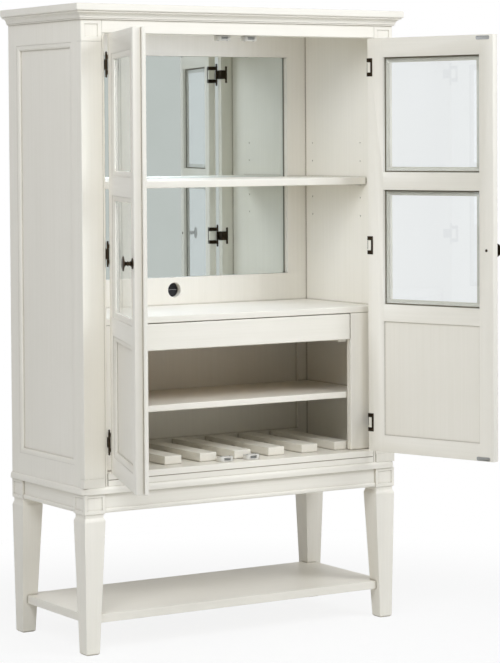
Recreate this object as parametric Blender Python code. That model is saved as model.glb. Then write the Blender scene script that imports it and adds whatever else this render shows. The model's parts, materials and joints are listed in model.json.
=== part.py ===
"""Two-door bar cabinet on a four-legged stand.

Metres, +Z up. The front faces -Y, Y = 0 is the front face of the case, X = 0 is its middle and Z = 0 is
the floor. The doors are built shut and then swung open on their hinge empties.
"""
import bpy
import bmesh
from math import acos, cos, pi, radians, sin
from mathutils import Matrix, Vector

# Overall sizes of the case
WIDTH = 1.060
DEPTH = 0.450
HEIGHT = 1.830

# Fits and edges
SEAT = 0.0003
EDGE = 0.0012
SOFT_EDGE = 0.0025
EDGE_STEPS = 2
OVERCUT = 0.010

# Stand
STAND_HEIGHT = 0.4545
LEG_TOP = 0.066
LEG_FOOT = 0.042
FOOT_INSET = 0.006
FOOT_CHAMFER = 0.004
BLOCK_HEIGHT = 0.0545
NECK_HEIGHT = 0.012
NECK_DEPTH = 0.004
SHOULDER_HEIGHT = 0.011
BLOCK_MARGIN = 0.012
BLOCK_RECESS = 0.0025
APRON_THICKNESS = 0.020
APRON_SETBACK = 0.006
APRON_BEAD = 0.013
APRON_BEAD_PROUD = 0.004
LEDGE_HEIGHT = 0.0185
LEDGE_PROUD = 0.005
LEDGE_WIDTH = 0.060
LEDGE_NOSE = 0.008
LEDGE_LIP = 0.001
STAND_SHELF_TOP = 0.111
STAND_SHELF_THICKNESS = 0.024
STAND_SHELF_SETBACK = 0.020

# Case front
FACE_THICKNESS = 0.022
PILASTER_WIDTH = 0.0666
PLINTH_HEIGHT = 0.025
PLINTH_PROUD = 0.0015
CORNER_BLOCK_HEIGHT = 0.061
CORNER_BLOCK_MARGIN = 0.012
JAMB_BEAD_WIDTH = 0.0087
JAMB_QUIRK = 0.0004
JAMB_QUIRK_DEPTH = 0.002
SEAM = 0.0008
BOTTOM_RAIL_HEIGHT = 0.0188
FRIEZE_HEIGHT = 0.0365
INNER_RAIL_THICKNESS = 0.019

# Top
TOP_THICKNESS = 0.021
TOP_OVERHANG = 0.025
TOP_ROUND = 0.004
CROWN_HEIGHT = 0.023
CROWN_FILLET = 0.004
CROWN_TIP = 0.001

# Sides and back
SIDE_THICKNESS = 0.033
SIDE_RECESS = 0.0087
SIDE_FRONT_STILE = 0.036
SIDE_BACK_STILE = 0.052
SIDE_TOP_RAIL = 0.085
SIDE_BOTTOM_RAIL = 0.061
SIDE_MOULDING_WIDTH = 0.015
SIDE_MOULDING_SINK = 0.001
BACK_THICKNESS = 0.025
MIRROR_SINK = 0.018
MIRROR_THICKNESS = 0.003
BACK_PANEL_SINK = 0.010
BACK_STILE = 0.070
BACK_TOP_RAIL = 0.1057
BACK_SPLASH = 0.084
BACK_LOWER_STILE = 0.034
BACK_BOTTOM_RAIL = 0.024
CORD_HOLE_RADIUS = 0.0225
CORD_HOLE_RISE = 0.046
CORD_HOLE_SHIFT = 0.014

# Inside
FLOOR_THICKNESS = 0.019
COUNTER_RISE = 0.4326
COUNTER_THICKNESS = 0.019
INSIDE_SETBACK = 0.004
POST_WIDTH = 0.097
POST_THICKNESS = 0.022
UPPER_SHELF_RISE = 0.3655
UPPER_SHELF_THICKNESS = 0.0215
UPPER_SHELF_SETBACK = 0.0525
LOWER_SHELF_RISE = 0.1566
LOWER_SHELF_THICKNESS = 0.019
SHELF_PLAY = 0.0025
SHELF_CLEARANCE = 0.003
POST_CLEARANCE = 0.003
PIN_INSET = 0.035
PIN_RISE = 0.0145
PIN_PITCH = 0.0558
PIN_RADIUS = 0.0022
PIN_LENGTH = 0.008
PIN_PLATE = 0.0012
PIN_PLATE_WIDTH = 0.010
PIN_ARM = 0.012
PIN_ROWS = (-2, -1, 0, 1, 2)
SLAT_COUNT = 8
SLAT_WIDTH = 0.056
SLAT_HEIGHT = 0.025
RACK_SLACK = 0.112
RACK_OFFSET = -0.029
BATTEN_WIDTH = 0.022
BATTEN_HEIGHT = 0.008
BATTEN_LIFT = 0.002
BATTEN_INSET = 0.020
BATTEN_SPACING = 0.130

# Drawer
DRAWER_GAP = 0.0018
DRAWER_HEIGHT = 0.077
DRAWER_BACK_GAP = 0.0276
DRAWER_FRONT_THICKNESS = 0.019
DRAWER_BOARD = 0.012
DRAWER_BOTTOM_THICKNESS = 0.006
DRAWER_PLAY = 0.003
DRAWER_LIFT = 0.006
DRAWER_HEADROOM = 0.012
RUNNER_LEDGE = 0.030
RUNNER_WIDTH = 0.020
RUNNER_HEIGHT = 0.014

# Doors
DOOR_THICKNESS = 0.022
DOOR_SIDE_GAP = 0.0035
DOOR_MEETING_GAP = 0.003
DOOR_TOP_GAP = 0.003
DOOR_FOOT_GAP = 0.0022
DOOR_HINGE_STILE = 0.058
DOOR_MEETING_STILE = 0.0485
DOOR_TOP_RAIL = 0.057
DOOR_MIDDLE_RAIL = 0.0525
DOOR_LOCK_RAIL = 0.0505
DOOR_BOTTOM_RAIL = 0.0505
DOOR_MOULDING_WIDTH = 0.016
DOOR_MOULDING_DEPTH = 0.0078
DOOR_MOULDING_SINK = 0.002
GLASS_THICKNESS = 0.003
DOOR_PANEL_THICKNESS = 0.008
ASTRAGAL_THICKNESS = 0.011
ASTRAGAL_LAP = 0.009
ASTRAGAL_GAP = 0.0004
LEFT_OPEN = radians(110.5)
RIGHT_OPEN = radians(108.5)

# Door hardware
KNUCKLE_RADIUS = 0.0042
KNUCKLE_SPLIT = 0.015
KNUCKLE_END = 0.030
KNUCKLE_GAP = 0.0003
FINIAL_LENGTH = 0.0065
LEAF_THICKNESS = 0.0009
LEAF_HEIGHT = 0.054
DOOR_LEAF_WIDTH = 0.019
FRAME_LEAF_WIDTH = 0.022
LEAF_BAR = 0.007
HINGE_INSET = 0.086
KNOB_RADIUS = 0.0205
KNOB_LENGTH = 0.030
KNOB_STEM = 0.0055
ROSETTE_RADIUS = 0.0145
ROSETTE_THICKNESS = 0.0035
KNOB_DROP = 0.006
SCREW_RADIUS = 0.002
SCREW_HOLE_PLAY = 0.0004
SCREW_HEAD_RADIUS = 0.0042
SCREW_HEAD_HEIGHT = 0.002
CATCH_WIDTH = 0.044
CATCH_DEPTH = 0.026
CATCH_HEIGHT = 0.014
CATCH_INSET = 0.0435
CATCH_GAP = 0.002

# Finishes: colour, roughness, metallic
PAINT = ((0.80, 0.78, 0.72), 0.45, 0.0)
DRAWER_WOOD = ((0.62, 0.50, 0.36), 0.55, 0.0)
GLASS = ((0.86, 0.90, 0.90), 0.05, 0.0)
MIRROR = ((0.72, 0.76, 0.74), 0.03, 1.0)
BRONZE = ((0.035, 0.028, 0.020), 0.40, 0.9)
STEEL = ((0.42, 0.42, 0.41), 0.35, 1.0)
WHITE_PLASTIC = ((0.82, 0.82, 0.80), 0.40, 0.0)

# Heights that follow from the sizes above
LEDGE_BOTTOM = STAND_HEIGHT + SEAT
LEDGE_TOP = LEDGE_BOTTOM + LEDGE_HEIGHT
CASE_BOTTOM = LEDGE_TOP + SEAT
FLOOR_BOTTOM = CASE_BOTTOM + BOTTOM_RAIL_HEIGHT
FLOOR_TOP = FLOOR_BOTTOM + FLOOR_THICKNESS
TOP_BOTTOM = HEIGHT - TOP_THICKNESS
CASE_TOP = TOP_BOTTOM - SEAT
CROWN_BOTTOM = TOP_BOTTOM - CROWN_HEIGHT
FRIEZE_BOTTOM = CROWN_BOTTOM - FRIEZE_HEIGHT
CORNER_BLOCK_BOTTOM = CROWN_BOTTOM - CORNER_BLOCK_HEIGHT
COUNTER_TOP = FLOOR_TOP + COUNTER_RISE
COUNTER_BOTTOM = COUNTER_TOP - COUNTER_THICKNESS
UPPER_SHELF_BOTTOM = COUNTER_TOP + UPPER_SHELF_RISE
LOWER_SHELF_BOTTOM = FLOOR_TOP + LOWER_SHELF_RISE
DRAWER_TOP = COUNTER_BOTTOM - DRAWER_GAP
DRAWER_FOOT = DRAWER_TOP - DRAWER_HEIGHT
DRAWER_SIDE_BOTTOM = DRAWER_FOOT + DRAWER_LIFT
DRAWER_SIDE_TOP = DRAWER_TOP - DRAWER_HEADROOM
RUNNER_TOP = DRAWER_SIDE_BOTTOM - SEAT
RUNNER_BOTTOM = RUNNER_TOP - RUNNER_HEIGHT
DOOR_FOOT = FLOOR_TOP + DOOR_FOOT_GAP
DOOR_TOP = FRIEZE_BOTTOM - DOOR_TOP_GAP

# Positions across and front to back that follow
HALF = WIDTH / 2
BLOCK_INNER = HALF - PILASTER_WIDTH
OPENING = BLOCK_INNER - JAMB_QUIRK - JAMB_BEAD_WIDTH
INNER = HALF - SIDE_THICKNESS
HEAD_INNER = BLOCK_INNER + JAMB_QUIRK
POST_INNER = INNER - SEAT - POST_WIDTH
SIDE_FRONT = FACE_THICKNESS + SEAT
ASTRAGAL_BACK = DOOR_THICKNESS + ASTRAGAL_GAP + ASTRAGAL_THICKNESS
INSIDE_FRONT = ASTRAGAL_BACK + INSIDE_SETBACK
INNER_RAIL_FRONT = ASTRAGAL_BACK + CATCH_GAP / 2
BACK_FRONT = DEPTH - BACK_THICKNESS
UPPER_SHELF_FRONT = INSIDE_FRONT + UPPER_SHELF_SETBACK
LOWER_SHELF_FRONT = INSIDE_FRONT + POST_THICKNESS + POST_CLEARANCE
SHELF_BACK = BACK_FRONT - SHELF_CLEARANCE
HINGE_X = OPENING - DOOR_SIDE_GAP / 2
HINGE_Y = -(KNUCKLE_RADIUS + SEAT)
DOOR_HINGE_EDGE = OPENING - DOOR_SIDE_GAP
DOOR_MEETING_EDGE = DOOR_MEETING_GAP / 2
CATCH_FRONT = DOOR_THICKNESS + CATCH_GAP
ASTRAGAL_HOLD = DOOR_MEETING_STILE / 2 - SCREW_HEAD_RADIUS - SEAT
GLASS_FRONT = DOOR_MOULDING_SINK + DOOR_MOULDING_DEPTH + SEAT


def clear_scene():
    for old in list(bpy.data.objects):
        bpy.data.objects.remove(old, do_unlink=True)


def ease(body, width):
    """Rounds every sharp edge of a body."""
    if width <= 0:
        return body
    sharp = [edge for edge in body.edges if edge.calc_face_angle(0) > radians(25)]
    bmesh.ops.bevel(body, geom=sharp, offset=width, segments=EDGE_STEPS, profile=0.5, affect="EDGES")
    return body


def board(x, y, z, edge=EDGE):
    """A rectangular board between two X, two Y and two Z values."""
    body = bmesh.new()
    bmesh.ops.create_cube(body, size=1.0)
    size = Vector((x[1] - x[0], y[1] - y[0], z[1] - z[0]))
    middle = Vector((x[0] + x[1], y[0] + y[1], z[0] + z[1])) / 2
    place = Matrix.Translation(middle) @ Matrix.Diagonal(size).to_4x4()
    bmesh.ops.transform(body, matrix=place, verts=body.verts)
    return ease(body, edge)


def rings_to_body(rings):
    """Joins equal rings of points into one skin, capped at both ends."""
    body = bmesh.new()
    rows = [[body.verts.new(point) for point in ring] for ring in rings]
    for row, following in zip(rows, rows[1:]):
        for step in range(len(row)):
            after = (step + 1) % len(row)
            body.faces.new((row[step], row[after], following[after], following[step]))
    body.faces.new(rows[0])
    body.faces.new(list(reversed(rows[-1])))
    bmesh.ops.recalc_face_normals(body, faces=body.faces[:])
    return body


def extruded(outline, start, end, place, edge=0.0):
    """An outline of (u, v) points run from one value to another; place turns (u, v, run) into a point."""
    rings = [[place(u, v, run) for u, v in outline] for run in (start, end)]
    return ease(rings_to_body(rings), edge)


def turned(profile, place, steps=24):
    """A profile of (radius, height) points with both ends on the axis, turned round that axis."""
    body = bmesh.new()
    rows = []
    for radius, height in profile[1:-1]:
        turn = [2 * pi * step / steps for step in range(steps)]
        rows.append([body.verts.new(place(radius * cos(a), radius * sin(a), height)) for a in turn])
    for row, following in zip(rows, rows[1:]):
        for step in range(steps):
            after = (step + 1) % steps
            body.faces.new((row[step], row[after], following[after], following[step]))
    for row, (_, height) in ((rows[0], profile[0]), (rows[-1], profile[-1])):
        pole = body.verts.new(place(0, 0, height))
        for step in range(steps):
            body.faces.new((pole, row[step], row[(step + 1) % steps]))
    bmesh.ops.recalc_face_normals(body, faces=body.faces[:])
    return body


def arc(centre, radius, start, end, steps=5):
    """Points along a round stretch of an outline, angles in degrees."""
    turn = [radians(start + (end - start) * step / steps) for step in range(steps + 1)]
    return [(centre[0] + radius * cos(a), centre[1] + radius * sin(a)) for a in turn]


def u_moulding(profile, back):
    """A profile of (outward offset, height) mitred round the left side, front and right side of the case."""
    corners = (
        lambda out: (-HALF - out, back),
        lambda out: (-HALF - out, -out),
        lambda out: (HALF + out, -out),
        lambda out: (HALF + out, back),
    )
    rings = [[(*corner(out), height) for out, height in profile] for corner in corners]
    return rings_to_body(rings)


def pocket(u, v, steps, place):
    """A cutter for an opening: rectangles stacked through (inset, depth) steps."""
    rings = []
    for inset, depth in steps:
        low_u, high_u = u[0] + inset, u[1] - inset
        low_v, high_v = v[0] + inset, v[1] - inset
        corners = ((low_u, low_v), (high_u, low_v), (high_u, high_v), (low_u, high_v))
        rings.append([place(*corner, depth) for corner in corners])
    return rings_to_body(rings)


def ovolo(width, sink, depth):
    """A moulded edge in (inset, depth) steps: a small step down, a flat, and a quarter round to the panel."""
    flat = width * 0.25
    drop = depth * 0.75
    quarter = [
        (flat + (width - flat) * sin(radians(angle)), sink + drop * (1 - cos(radians(angle))))
        for angle in (15, 30, 45, 60, 75, 90)
    ]
    return [(0, -OVERCUT), (0, sink), (flat, sink), *quarter, (width, sink + depth)]


def scratch_object(body):
    mesh = bpy.data.meshes.new("scratch")
    bmesh.ops.recalc_face_normals(body, faces=body.faces[:])
    body.to_mesh(mesh)
    body.free()
    scratch = bpy.data.objects.new("scratch", mesh)
    bpy.context.scene.collection.objects.link(scratch)
    return scratch


def combined(body, tools, operation="DIFFERENCE"):
    """Cuts the tools out of a body, or joins them to it."""
    target = scratch_object(body)
    cutters = [scratch_object(tool) for tool in tools]
    for cutter in cutters:
        change = target.modifiers.new("change", "BOOLEAN")
        change.operation = operation
        change.solver = "EXACT"
        change.object = cutter
    depsgraph = bpy.context.evaluated_depsgraph_get()
    depsgraph.update()
    result = bmesh.new()
    result.from_object(target, depsgraph)
    for scratch in (target, *cutters):
        bpy.data.objects.remove(scratch, do_unlink=True)
    bmesh.ops.remove_doubles(result, verts=result.verts[:], dist=0.000005)
    bmesh.ops.dissolve_degenerate(result, dist=0.000005, edges=result.edges[:])
    return result


def mirrored(body):
    """The left-hand copy of a right-hand body, or the other way round."""
    copy = body.copy()
    bmesh.ops.transform(copy, matrix=Matrix.Scale(-1, 4, (1, 0, 0)), verts=copy.verts)
    bmesh.ops.reverse_faces(copy, faces=copy.faces[:])
    return copy


def finish_material(name, finish):
    colour, roughness, metallic = finish
    material = bpy.data.materials.new(name + "_finish")
    material.use_nodes = True
    shader = material.node_tree.nodes["Principled BSDF"]
    shader.inputs["Base Color"].default_value = (*colour, 1.0)
    shader.inputs["Roughness"].default_value = roughness
    shader.inputs["Metallic"].default_value = metallic
    return material


def add_part(name, body, finish, mover=None):
    """Makes one named object from a closed body, riding its mover's empty if it has one."""
    bmesh.ops.recalc_face_normals(body, faces=body.faces[:])
    mesh = bpy.data.meshes.new(name)
    body.to_mesh(mesh)
    body.free()
    mesh.materials.append(finish_material(name, finish))
    mesh.shade_smooth()
    mesh.set_sharp_from_angle(angle=radians(30))
    part = bpy.data.objects.new(name, mesh)
    bpy.context.scene.collection.objects.link(part)
    if mover:
        mesh.transform(Matrix.Translation(-mover.location))
        part.parent = mover
    return part


def add_pair(name, right_body, finish):
    """A right-hand piece of the case and its mirror image on the left."""
    add_part(f"{name}_left", mirrored(right_body), finish)
    add_part(f"{name}_right", right_body, finish)


def add_mover(name, location):
    mover = bpy.data.objects.new(name, None)
    mover.empty_display_size = 0.05
    mover.location = location
    bpy.context.scene.collection.objects.link(mover)
    return mover


def in_plan(u, v, run):
    return (u, v, run)


def across(u, v, run):
    """An outline drawn in (Y, Z), run along X."""
    return (run, u, v)


def front_to_back(u, v, run):
    """An outline drawn in (X, Z), run along Y."""
    return (u, run, v)


def leg(side, back):
    """One leg: a panelled block, a turned-in neck, a shoulder and a taper down to a chamfered foot."""
    block_bottom = STAND_HEIGHT - BLOCK_HEIGHT
    shoulder = block_bottom - NECK_HEIGHT - SHOULDER_HEIGHT
    stations = (
        (STAND_HEIGHT, 0.0, LEG_TOP),
        (block_bottom, 0.0, LEG_TOP),
        (block_bottom - NECK_DEPTH, NECK_DEPTH, LEG_TOP - 2 * NECK_DEPTH),
        (block_bottom - NECK_HEIGHT, NECK_DEPTH, LEG_TOP - 2 * NECK_DEPTH),
        (shoulder + SHOULDER_HEIGHT / 3, NECK_DEPTH / 4, LEG_TOP - NECK_DEPTH / 2),
        (shoulder, 0.0, LEG_TOP),
        (FOOT_CHAMFER, FOOT_INSET, LEG_FOOT),
        (0.0, FOOT_INSET + FOOT_CHAMFER, LEG_FOOT - 2 * FOOT_CHAMFER),
    )
    rings = []
    for height, inset, size in stations:
        near, far = HALF - inset, HALF - inset - size
        front, rear = inset, inset + size
        if back:
            front, rear = DEPTH - inset, DEPTH - inset - size
        corners = ((near, front), (far, front), (far, rear), (near, rear))
        rings.append([(side * x, y, height) for x, y in corners])
    body = rings_to_body(rings)
    panels = []
    for face in body.faces:
        middle = face.calc_center_median()
        outer = abs(middle.x) > HALF - SEAT or middle.y < SEAT or middle.y > DEPTH - SEAT
        if outer and middle.z > block_bottom:
            panels.append(face)
    bmesh.ops.inset_individual(body, faces=panels, thickness=BLOCK_MARGIN, depth=0.0)
    bmesh.ops.inset_individual(body, faces=panels, thickness=BLOCK_RECESS / 2, depth=-BLOCK_RECESS)
    return body


def apron_outline(face, inward):
    """An apron in section: a board with a half-round bead along its lower outer edge."""
    bottom, top = STAND_HEIGHT - BLOCK_HEIGHT, STAND_HEIGHT
    back = face + inward * APRON_THICKNESS
    radius = APRON_BEAD / 2
    bead = [
        (face - inward * APRON_BEAD_PROUD * u, bottom + radius + radius * v)
        for u, v in arc((0, 0), 1.0, -90, 90, 6)
    ]
    return [(back, bottom), *bead, (face, top), (back, top)]


def add_stand():
    for side, hand in ((-1, "left"), (1, "right")):
        for back, end in ((False, "front"), (True, "back")):
            add_part(f"leg_{end}_{hand}", leg(side, back), PAINT)
    reach = HALF - LEG_TOP - SEAT
    add_part("apron_front", extruded(apron_outline(APRON_SETBACK, 1), -reach, reach, across), PAINT)
    add_part("apron_back", extruded(apron_outline(DEPTH - APRON_SETBACK, -1), -reach, reach, across), PAINT)
    ends = (LEG_TOP + SEAT, DEPTH - LEG_TOP - SEAT)
    add_pair("apron", extruded(apron_outline(HALF - APRON_SETBACK, -1), *ends, front_to_back), PAINT)
    nose = arc((LEDGE_PROUD - LEDGE_NOSE, LEDGE_TOP - LEDGE_NOSE), LEDGE_NOSE, 0, 90)
    under = arc((LEDGE_PROUD - LEDGE_LIP, LEDGE_BOTTOM + LEDGE_LIP), LEDGE_LIP, -90, 0, 2)
    ledge = [(-LEDGE_WIDTH, LEDGE_BOTTOM), *under, *nose, (-LEDGE_WIDTH, LEDGE_TOP)]
    add_part("ledge_moulding", u_moulding(ledge, DEPTH), PAINT)
    add_part("stand_shelf", stand_shelf(), PAINT)


def stand_shelf():
    """The low shelf, notched round the legs, which it grips at its top edge."""
    drop = STAND_HEIGHT - BLOCK_HEIGHT - NECK_HEIGHT - SHOULDER_HEIGHT
    foot = FOOT_CHAMFER
    share = (STAND_SHELF_TOP - foot) / (drop - foot)
    leg_reach = FOOT_INSET * (1 - share) + LEG_FOOT + (LEG_TOP - LEG_FOOT) * share + SEAT
    side, notch = HALF - STAND_SHELF_SETBACK, HALF - leg_reach
    front, rear = STAND_SHELF_SETBACK, DEPTH - STAND_SHELF_SETBACK
    near, far = leg_reach, DEPTH - leg_reach
    outline = [
        (-notch, front), (notch, front), (notch, near), (side, near), (side, far), (notch, far),
        (notch, rear), (-notch, rear), (-notch, far), (-side, far), (-side, near), (-notch, near),
    ]
    return extruded(outline, STAND_SHELF_TOP - STAND_SHELF_THICKNESS, STAND_SHELF_TOP, in_plan, EDGE)


def pilaster():
    """The right pilaster: a plinth, a shaft with a bead along the opening, and a panelled head block."""
    radius = JAMB_BEAD_WIDTH / 2
    bead_start = -90 + 180 / pi * acos((radius - JAMB_QUIRK_DEPTH) / radius)
    bead = arc((OPENING + radius, radius), radius, bead_start, -180, 8)
    plan = [
        (HALF, FACE_THICKNESS), (HALF, EDGE), (HALF - EDGE, 0), (BLOCK_INNER + SEAM, 0), (BLOCK_INNER, SEAM),
        (BLOCK_INNER, JAMB_QUIRK_DEPTH), *bead, (OPENING, FACE_THICKNESS),
    ]
    bar = extruded(plan, CASE_BOTTOM + SEAM, CASE_TOP, in_plan)
    bead_top = board((OPENING - OVERCUT, HEAD_INNER), (-OVERCUT, FACE_THICKNESS + OVERCUT),
                     (FRIEZE_BOTTOM - SEAT, HEIGHT), 0.0)
    seam_z = (CORNER_BLOCK_BOTTOM - SEAM / 2, CORNER_BLOCK_BOTTOM + SEAM / 2)
    front_seam = board((HEAD_INNER, HALF + OVERCUT), (-OVERCUT, SEAM), seam_z, 0.0)
    side_seam = board((HALF - SEAM, HALF + OVERCUT), (-OVERCUT, FACE_THICKNESS + OVERCUT), seam_z, 0.0)
    margin = CORNER_BLOCK_MARGIN
    square_x = (BLOCK_INNER + margin, HALF - margin)
    square_z = (CORNER_BLOCK_BOTTOM + margin, CROWN_BOTTOM - margin)
    sunk = ((0, -OVERCUT), (0, 0), (BLOCK_RECESS / 2, BLOCK_RECESS))
    square = pocket(square_x, square_z, sunk, lambda x, z, depth: (x, depth, z))
    bar = combined(bar, [bead_top, front_seam, side_seam, square])
    plinth = board((HEAD_INNER + SEAM, HALF + PLINTH_PROUD), (-PLINTH_PROUD, FACE_THICKNESS - SEAM),
                   (CASE_BOTTOM, CASE_BOTTOM + PLINTH_HEIGHT), SEAM)
    return combined(bar, [plinth], "UNION")


def add_case_front():
    add_pair("pilaster", pilaster(), PAINT)
    end = HEAD_INNER - SEAT
    add_part("frieze_rail", board((-end, end), (0, FACE_THICKNESS), (FRIEZE_BOTTOM, CASE_TOP)), PAINT)
    add_part("cabinet_floor", cabinet_floor(), PAINT)


def cabinet_floor():
    """The floor board with the rail under its front edge, cut back behind the pilasters."""
    reach = INNER - SEAT
    nose = OPENING - SEAT
    body = board((-reach, reach), (0, DEPTH), (CASE_BOTTOM, FLOOR_TOP), SOFT_EDGE)
    under = board((-WIDTH, WIDTH), (FACE_THICKNESS, DEPTH + OVERCUT), (0, FLOOR_BOTTOM), 0.0)
    line = board((-WIDTH, WIDTH), (-OVERCUT, SEAM), (FLOOR_BOTTOM - SEAM / 2, FLOOR_BOTTOM + SEAM / 2), 0.0)
    corner = board((nose, WIDTH), (-OVERCUT, SIDE_FRONT), (0, HEIGHT), 0.0)
    return combined(body, [under, line, corner, mirrored(corner)])


def add_top():
    """The top board, with the crown moulding under its overhang and the door-stop rail inside."""
    out = TOP_OVERHANG
    crest = arc((out - TOP_ROUND / 2, HEIGHT - TOP_ROUND / 2), TOP_ROUND / 2, 0, 90, 3)
    under = arc((out - TOP_ROUND, TOP_BOTTOM + TOP_ROUND), TOP_ROUND, -90, 0, 4)
    rings = []
    for offset, height in [*under, *crest]:
        side, front = HALF + offset, -offset
        corners = ((-side, front), (side, front), (side, DEPTH), (-side, DEPTH))
        rings.append([(x, y, height) for x, y in corners])
    top = rings_to_body(rings)
    cove_height = CROWN_HEIGHT - 2 * CROWN_FILLET
    cove_start = SEAT + 1.5 * CROWN_FILLET
    cove_reach = out - CROWN_FILLET - CROWN_TIP - cove_start
    cove = [
        (cove_start + cove_reach * (1 + u), CROWN_BOTTOM + CROWN_FILLET + cove_height * v)
        for u, v in arc((0, 0), 1.0, 180, 90, 7)
    ]
    inside_top = TOP_BOTTOM + TOP_ROUND
    crown = [
        (SEAT, CROWN_BOTTOM), (SEAT + CROWN_FILLET, CROWN_BOTTOM),
        (SEAT + CROWN_FILLET, CROWN_BOTTOM + CROWN_FILLET), *cove,
        (cove[-1][0], inside_top), (SEAT, inside_top),
    ]
    reach = INNER - SEAT
    rail = board((-reach, reach), (INNER_RAIL_FRONT, INNER_RAIL_FRONT + INNER_RAIL_THICKNESS),
                 (FRIEZE_BOTTOM, inside_top), SOFT_EDGE)
    add_part("top_board", combined(top, [u_moulding(crown, DEPTH - SEAT), rail], "UNION"), PAINT)


def pin_places():
    """The shelf-pin holes of one side: (Y, Z)."""
    columns = (UPPER_SHELF_FRONT + PIN_INSET, SHELF_BACK - PIN_INSET)
    return [(y, UPPER_SHELF_BOTTOM + PIN_RISE + row * PIN_PITCH) for y in columns for row in PIN_ROWS]


def peg(y, z, start, end, radius, steps=12):
    """A round rod along X."""
    profile = ((0, start), (radius, start), (radius, end), (0, end))
    return turned(profile, lambda a, b, run: (run, y + a, z + b), steps)


def shrunk(span, by):
    return (span[0] + by, span[1] - by)


def side():
    """The right side of the case: a moulded panel outside, and shelf-pin holes inside."""
    body = board((INNER, HALF), (SIDE_FRONT, DEPTH), (CASE_BOTTOM, CASE_TOP))
    along = (SIDE_FRONT + SIDE_FRONT_STILE, DEPTH - SIDE_BACK_STILE)
    up = (CASE_BOTTOM + SIDE_BOTTOM_RAIL, CASE_TOP - SIDE_TOP_RAIL)
    edge = ovolo(SIDE_MOULDING_WIDTH, SIDE_MOULDING_SINK, SIDE_RECESS - SIDE_MOULDING_SINK)
    panel = pocket(along, up, edge, lambda y, z, sunk: (HALF - sunk, y, z))
    depth = PIN_LENGTH + SEAT
    drills = [peg(y, z, INNER - depth, INNER + depth, PIN_RADIUS + SEAT) for y, z in pin_places()]
    return combined(body, [panel, *drills])


def add_back():
    """The back with its mirror recess, a lower panel and the round cord hole."""
    reach = INNER - SEAT
    opening = (-reach + BACK_STILE, reach - BACK_STILE)
    mirror_z = (COUNTER_TOP + BACK_SPLASH, CASE_TOP - BACK_TOP_RAIL)
    panel_z = (FLOOR_TOP + SEAT + BACK_BOTTOM_RAIL, RUNNER_BOTTOM - RUNNER_HEIGHT)
    mirror_y = (BACK_FRONT + MIRROR_SINK, BACK_FRONT + MIRROR_SINK + MIRROR_THICKNESS)
    recess = board(opening, (BACK_FRONT - OVERCUT, mirror_y[1] + SEAT), mirror_z, 0.0)
    panel_x = (-reach + BACK_LOWER_STILE, reach - BACK_LOWER_STILE)
    panel = board(panel_x, (BACK_FRONT - OVERCUT, BACK_FRONT + BACK_PANEL_SINK), panel_z, 0.0)
    hole_z = COUNTER_TOP + CORD_HOLE_RISE
    ends = (BACK_FRONT - OVERCUT, DEPTH + OVERCUT)
    profile = ((0, ends[0]), (CORD_HOLE_RADIUS, ends[0]), (CORD_HOLE_RADIUS, ends[1]), (0, ends[1]))
    hole = turned(profile, lambda x, z, run: (CORD_HOLE_SHIFT + x, run, hole_z + z), 32)
    body = board((-reach, reach), (BACK_FRONT, DEPTH), (FLOOR_TOP + SEAT, CASE_TOP))
    add_part("back_board", combined(body, [recess, panel, hole]), PAINT)
    add_part("mirror", board(shrunk(opening, SEAT), mirror_y, shrunk(mirror_z, SEAT), 0.0), MIRROR)


def add_inside():
    reach = INNER - SEAT
    counter_y = (INSIDE_FRONT, BACK_FRONT - SEAT)
    add_part("counter", board((-reach, reach), counter_y, (COUNTER_BOTTOM, COUNTER_TOP), SOFT_EDGE), PAINT)
    post_y = (INSIDE_FRONT, INSIDE_FRONT + POST_THICKNESS)
    post_z = (FLOOR_TOP + SEAT, COUNTER_BOTTOM - SEAT)
    add_pair("post", board((POST_INNER, reach), post_y, post_z, SOFT_EDGE), PAINT)
    shelf_y = (post_y[1] + SEAT, BACK_FRONT - SEAT)
    shelf_z = (LOWER_SHELF_BOTTOM, LOWER_SHELF_BOTTOM + LOWER_SHELF_THICKNESS)
    add_part("lower_shelf", board((-reach, reach), shelf_y, shelf_z, SOFT_EDGE), PAINT)
    outline = [
        (POST_INNER - RUNNER_LEDGE, RUNNER_BOTTOM), (POST_INNER + RUNNER_WIDTH, RUNNER_BOTTOM),
        (POST_INNER + RUNNER_WIDTH, DRAWER_SIDE_TOP), (POST_INNER, DRAWER_SIDE_TOP),
        (POST_INNER, RUNNER_TOP), (POST_INNER - RUNNER_LEDGE, RUNNER_TOP),
    ]
    add_pair("drawer_runner", extruded(outline, *shelf_y, front_to_back, EDGE / 2), PAINT)


def add_rack():
    """The lift-out bottle rack: slats from front to back, let into two thin battens."""
    span = 2 * INNER - RACK_SLACK
    pitch = (span - SLAT_WIDTH) / (SLAT_COUNT - 1)
    start = RACK_OFFSET - span / 2
    low = FLOOR_TOP + SEAT
    slats = []
    for number in range(SLAT_COUNT):
        left = start + number * pitch
        ends = (LOWER_SHELF_FRONT, SHELF_BACK)
        slats.append(board((left, left + SLAT_WIDTH), ends, (low, low + SLAT_HEIGHT), EDGE))
    batten_x = (start + SLAT_WIDTH / 2, start + span - SLAT_WIDTH / 2)
    batten_z = (low + BATTEN_LIFT, low + BATTEN_LIFT + BATTEN_HEIGHT)
    battens = []
    for back in (SHELF_BACK - BATTEN_INSET, SHELF_BACK - BATTEN_INSET - BATTEN_SPACING):
        battens.append(board(batten_x, (back - BATTEN_WIDTH, back), batten_z, 0.0))
    mover = add_mover("rack_lift", (start + span / 2, SHELF_BACK, low))
    add_part("bottle_rack", combined(slats[0], [*slats[1:], *battens], "UNION"), PAINT, mover)


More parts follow.
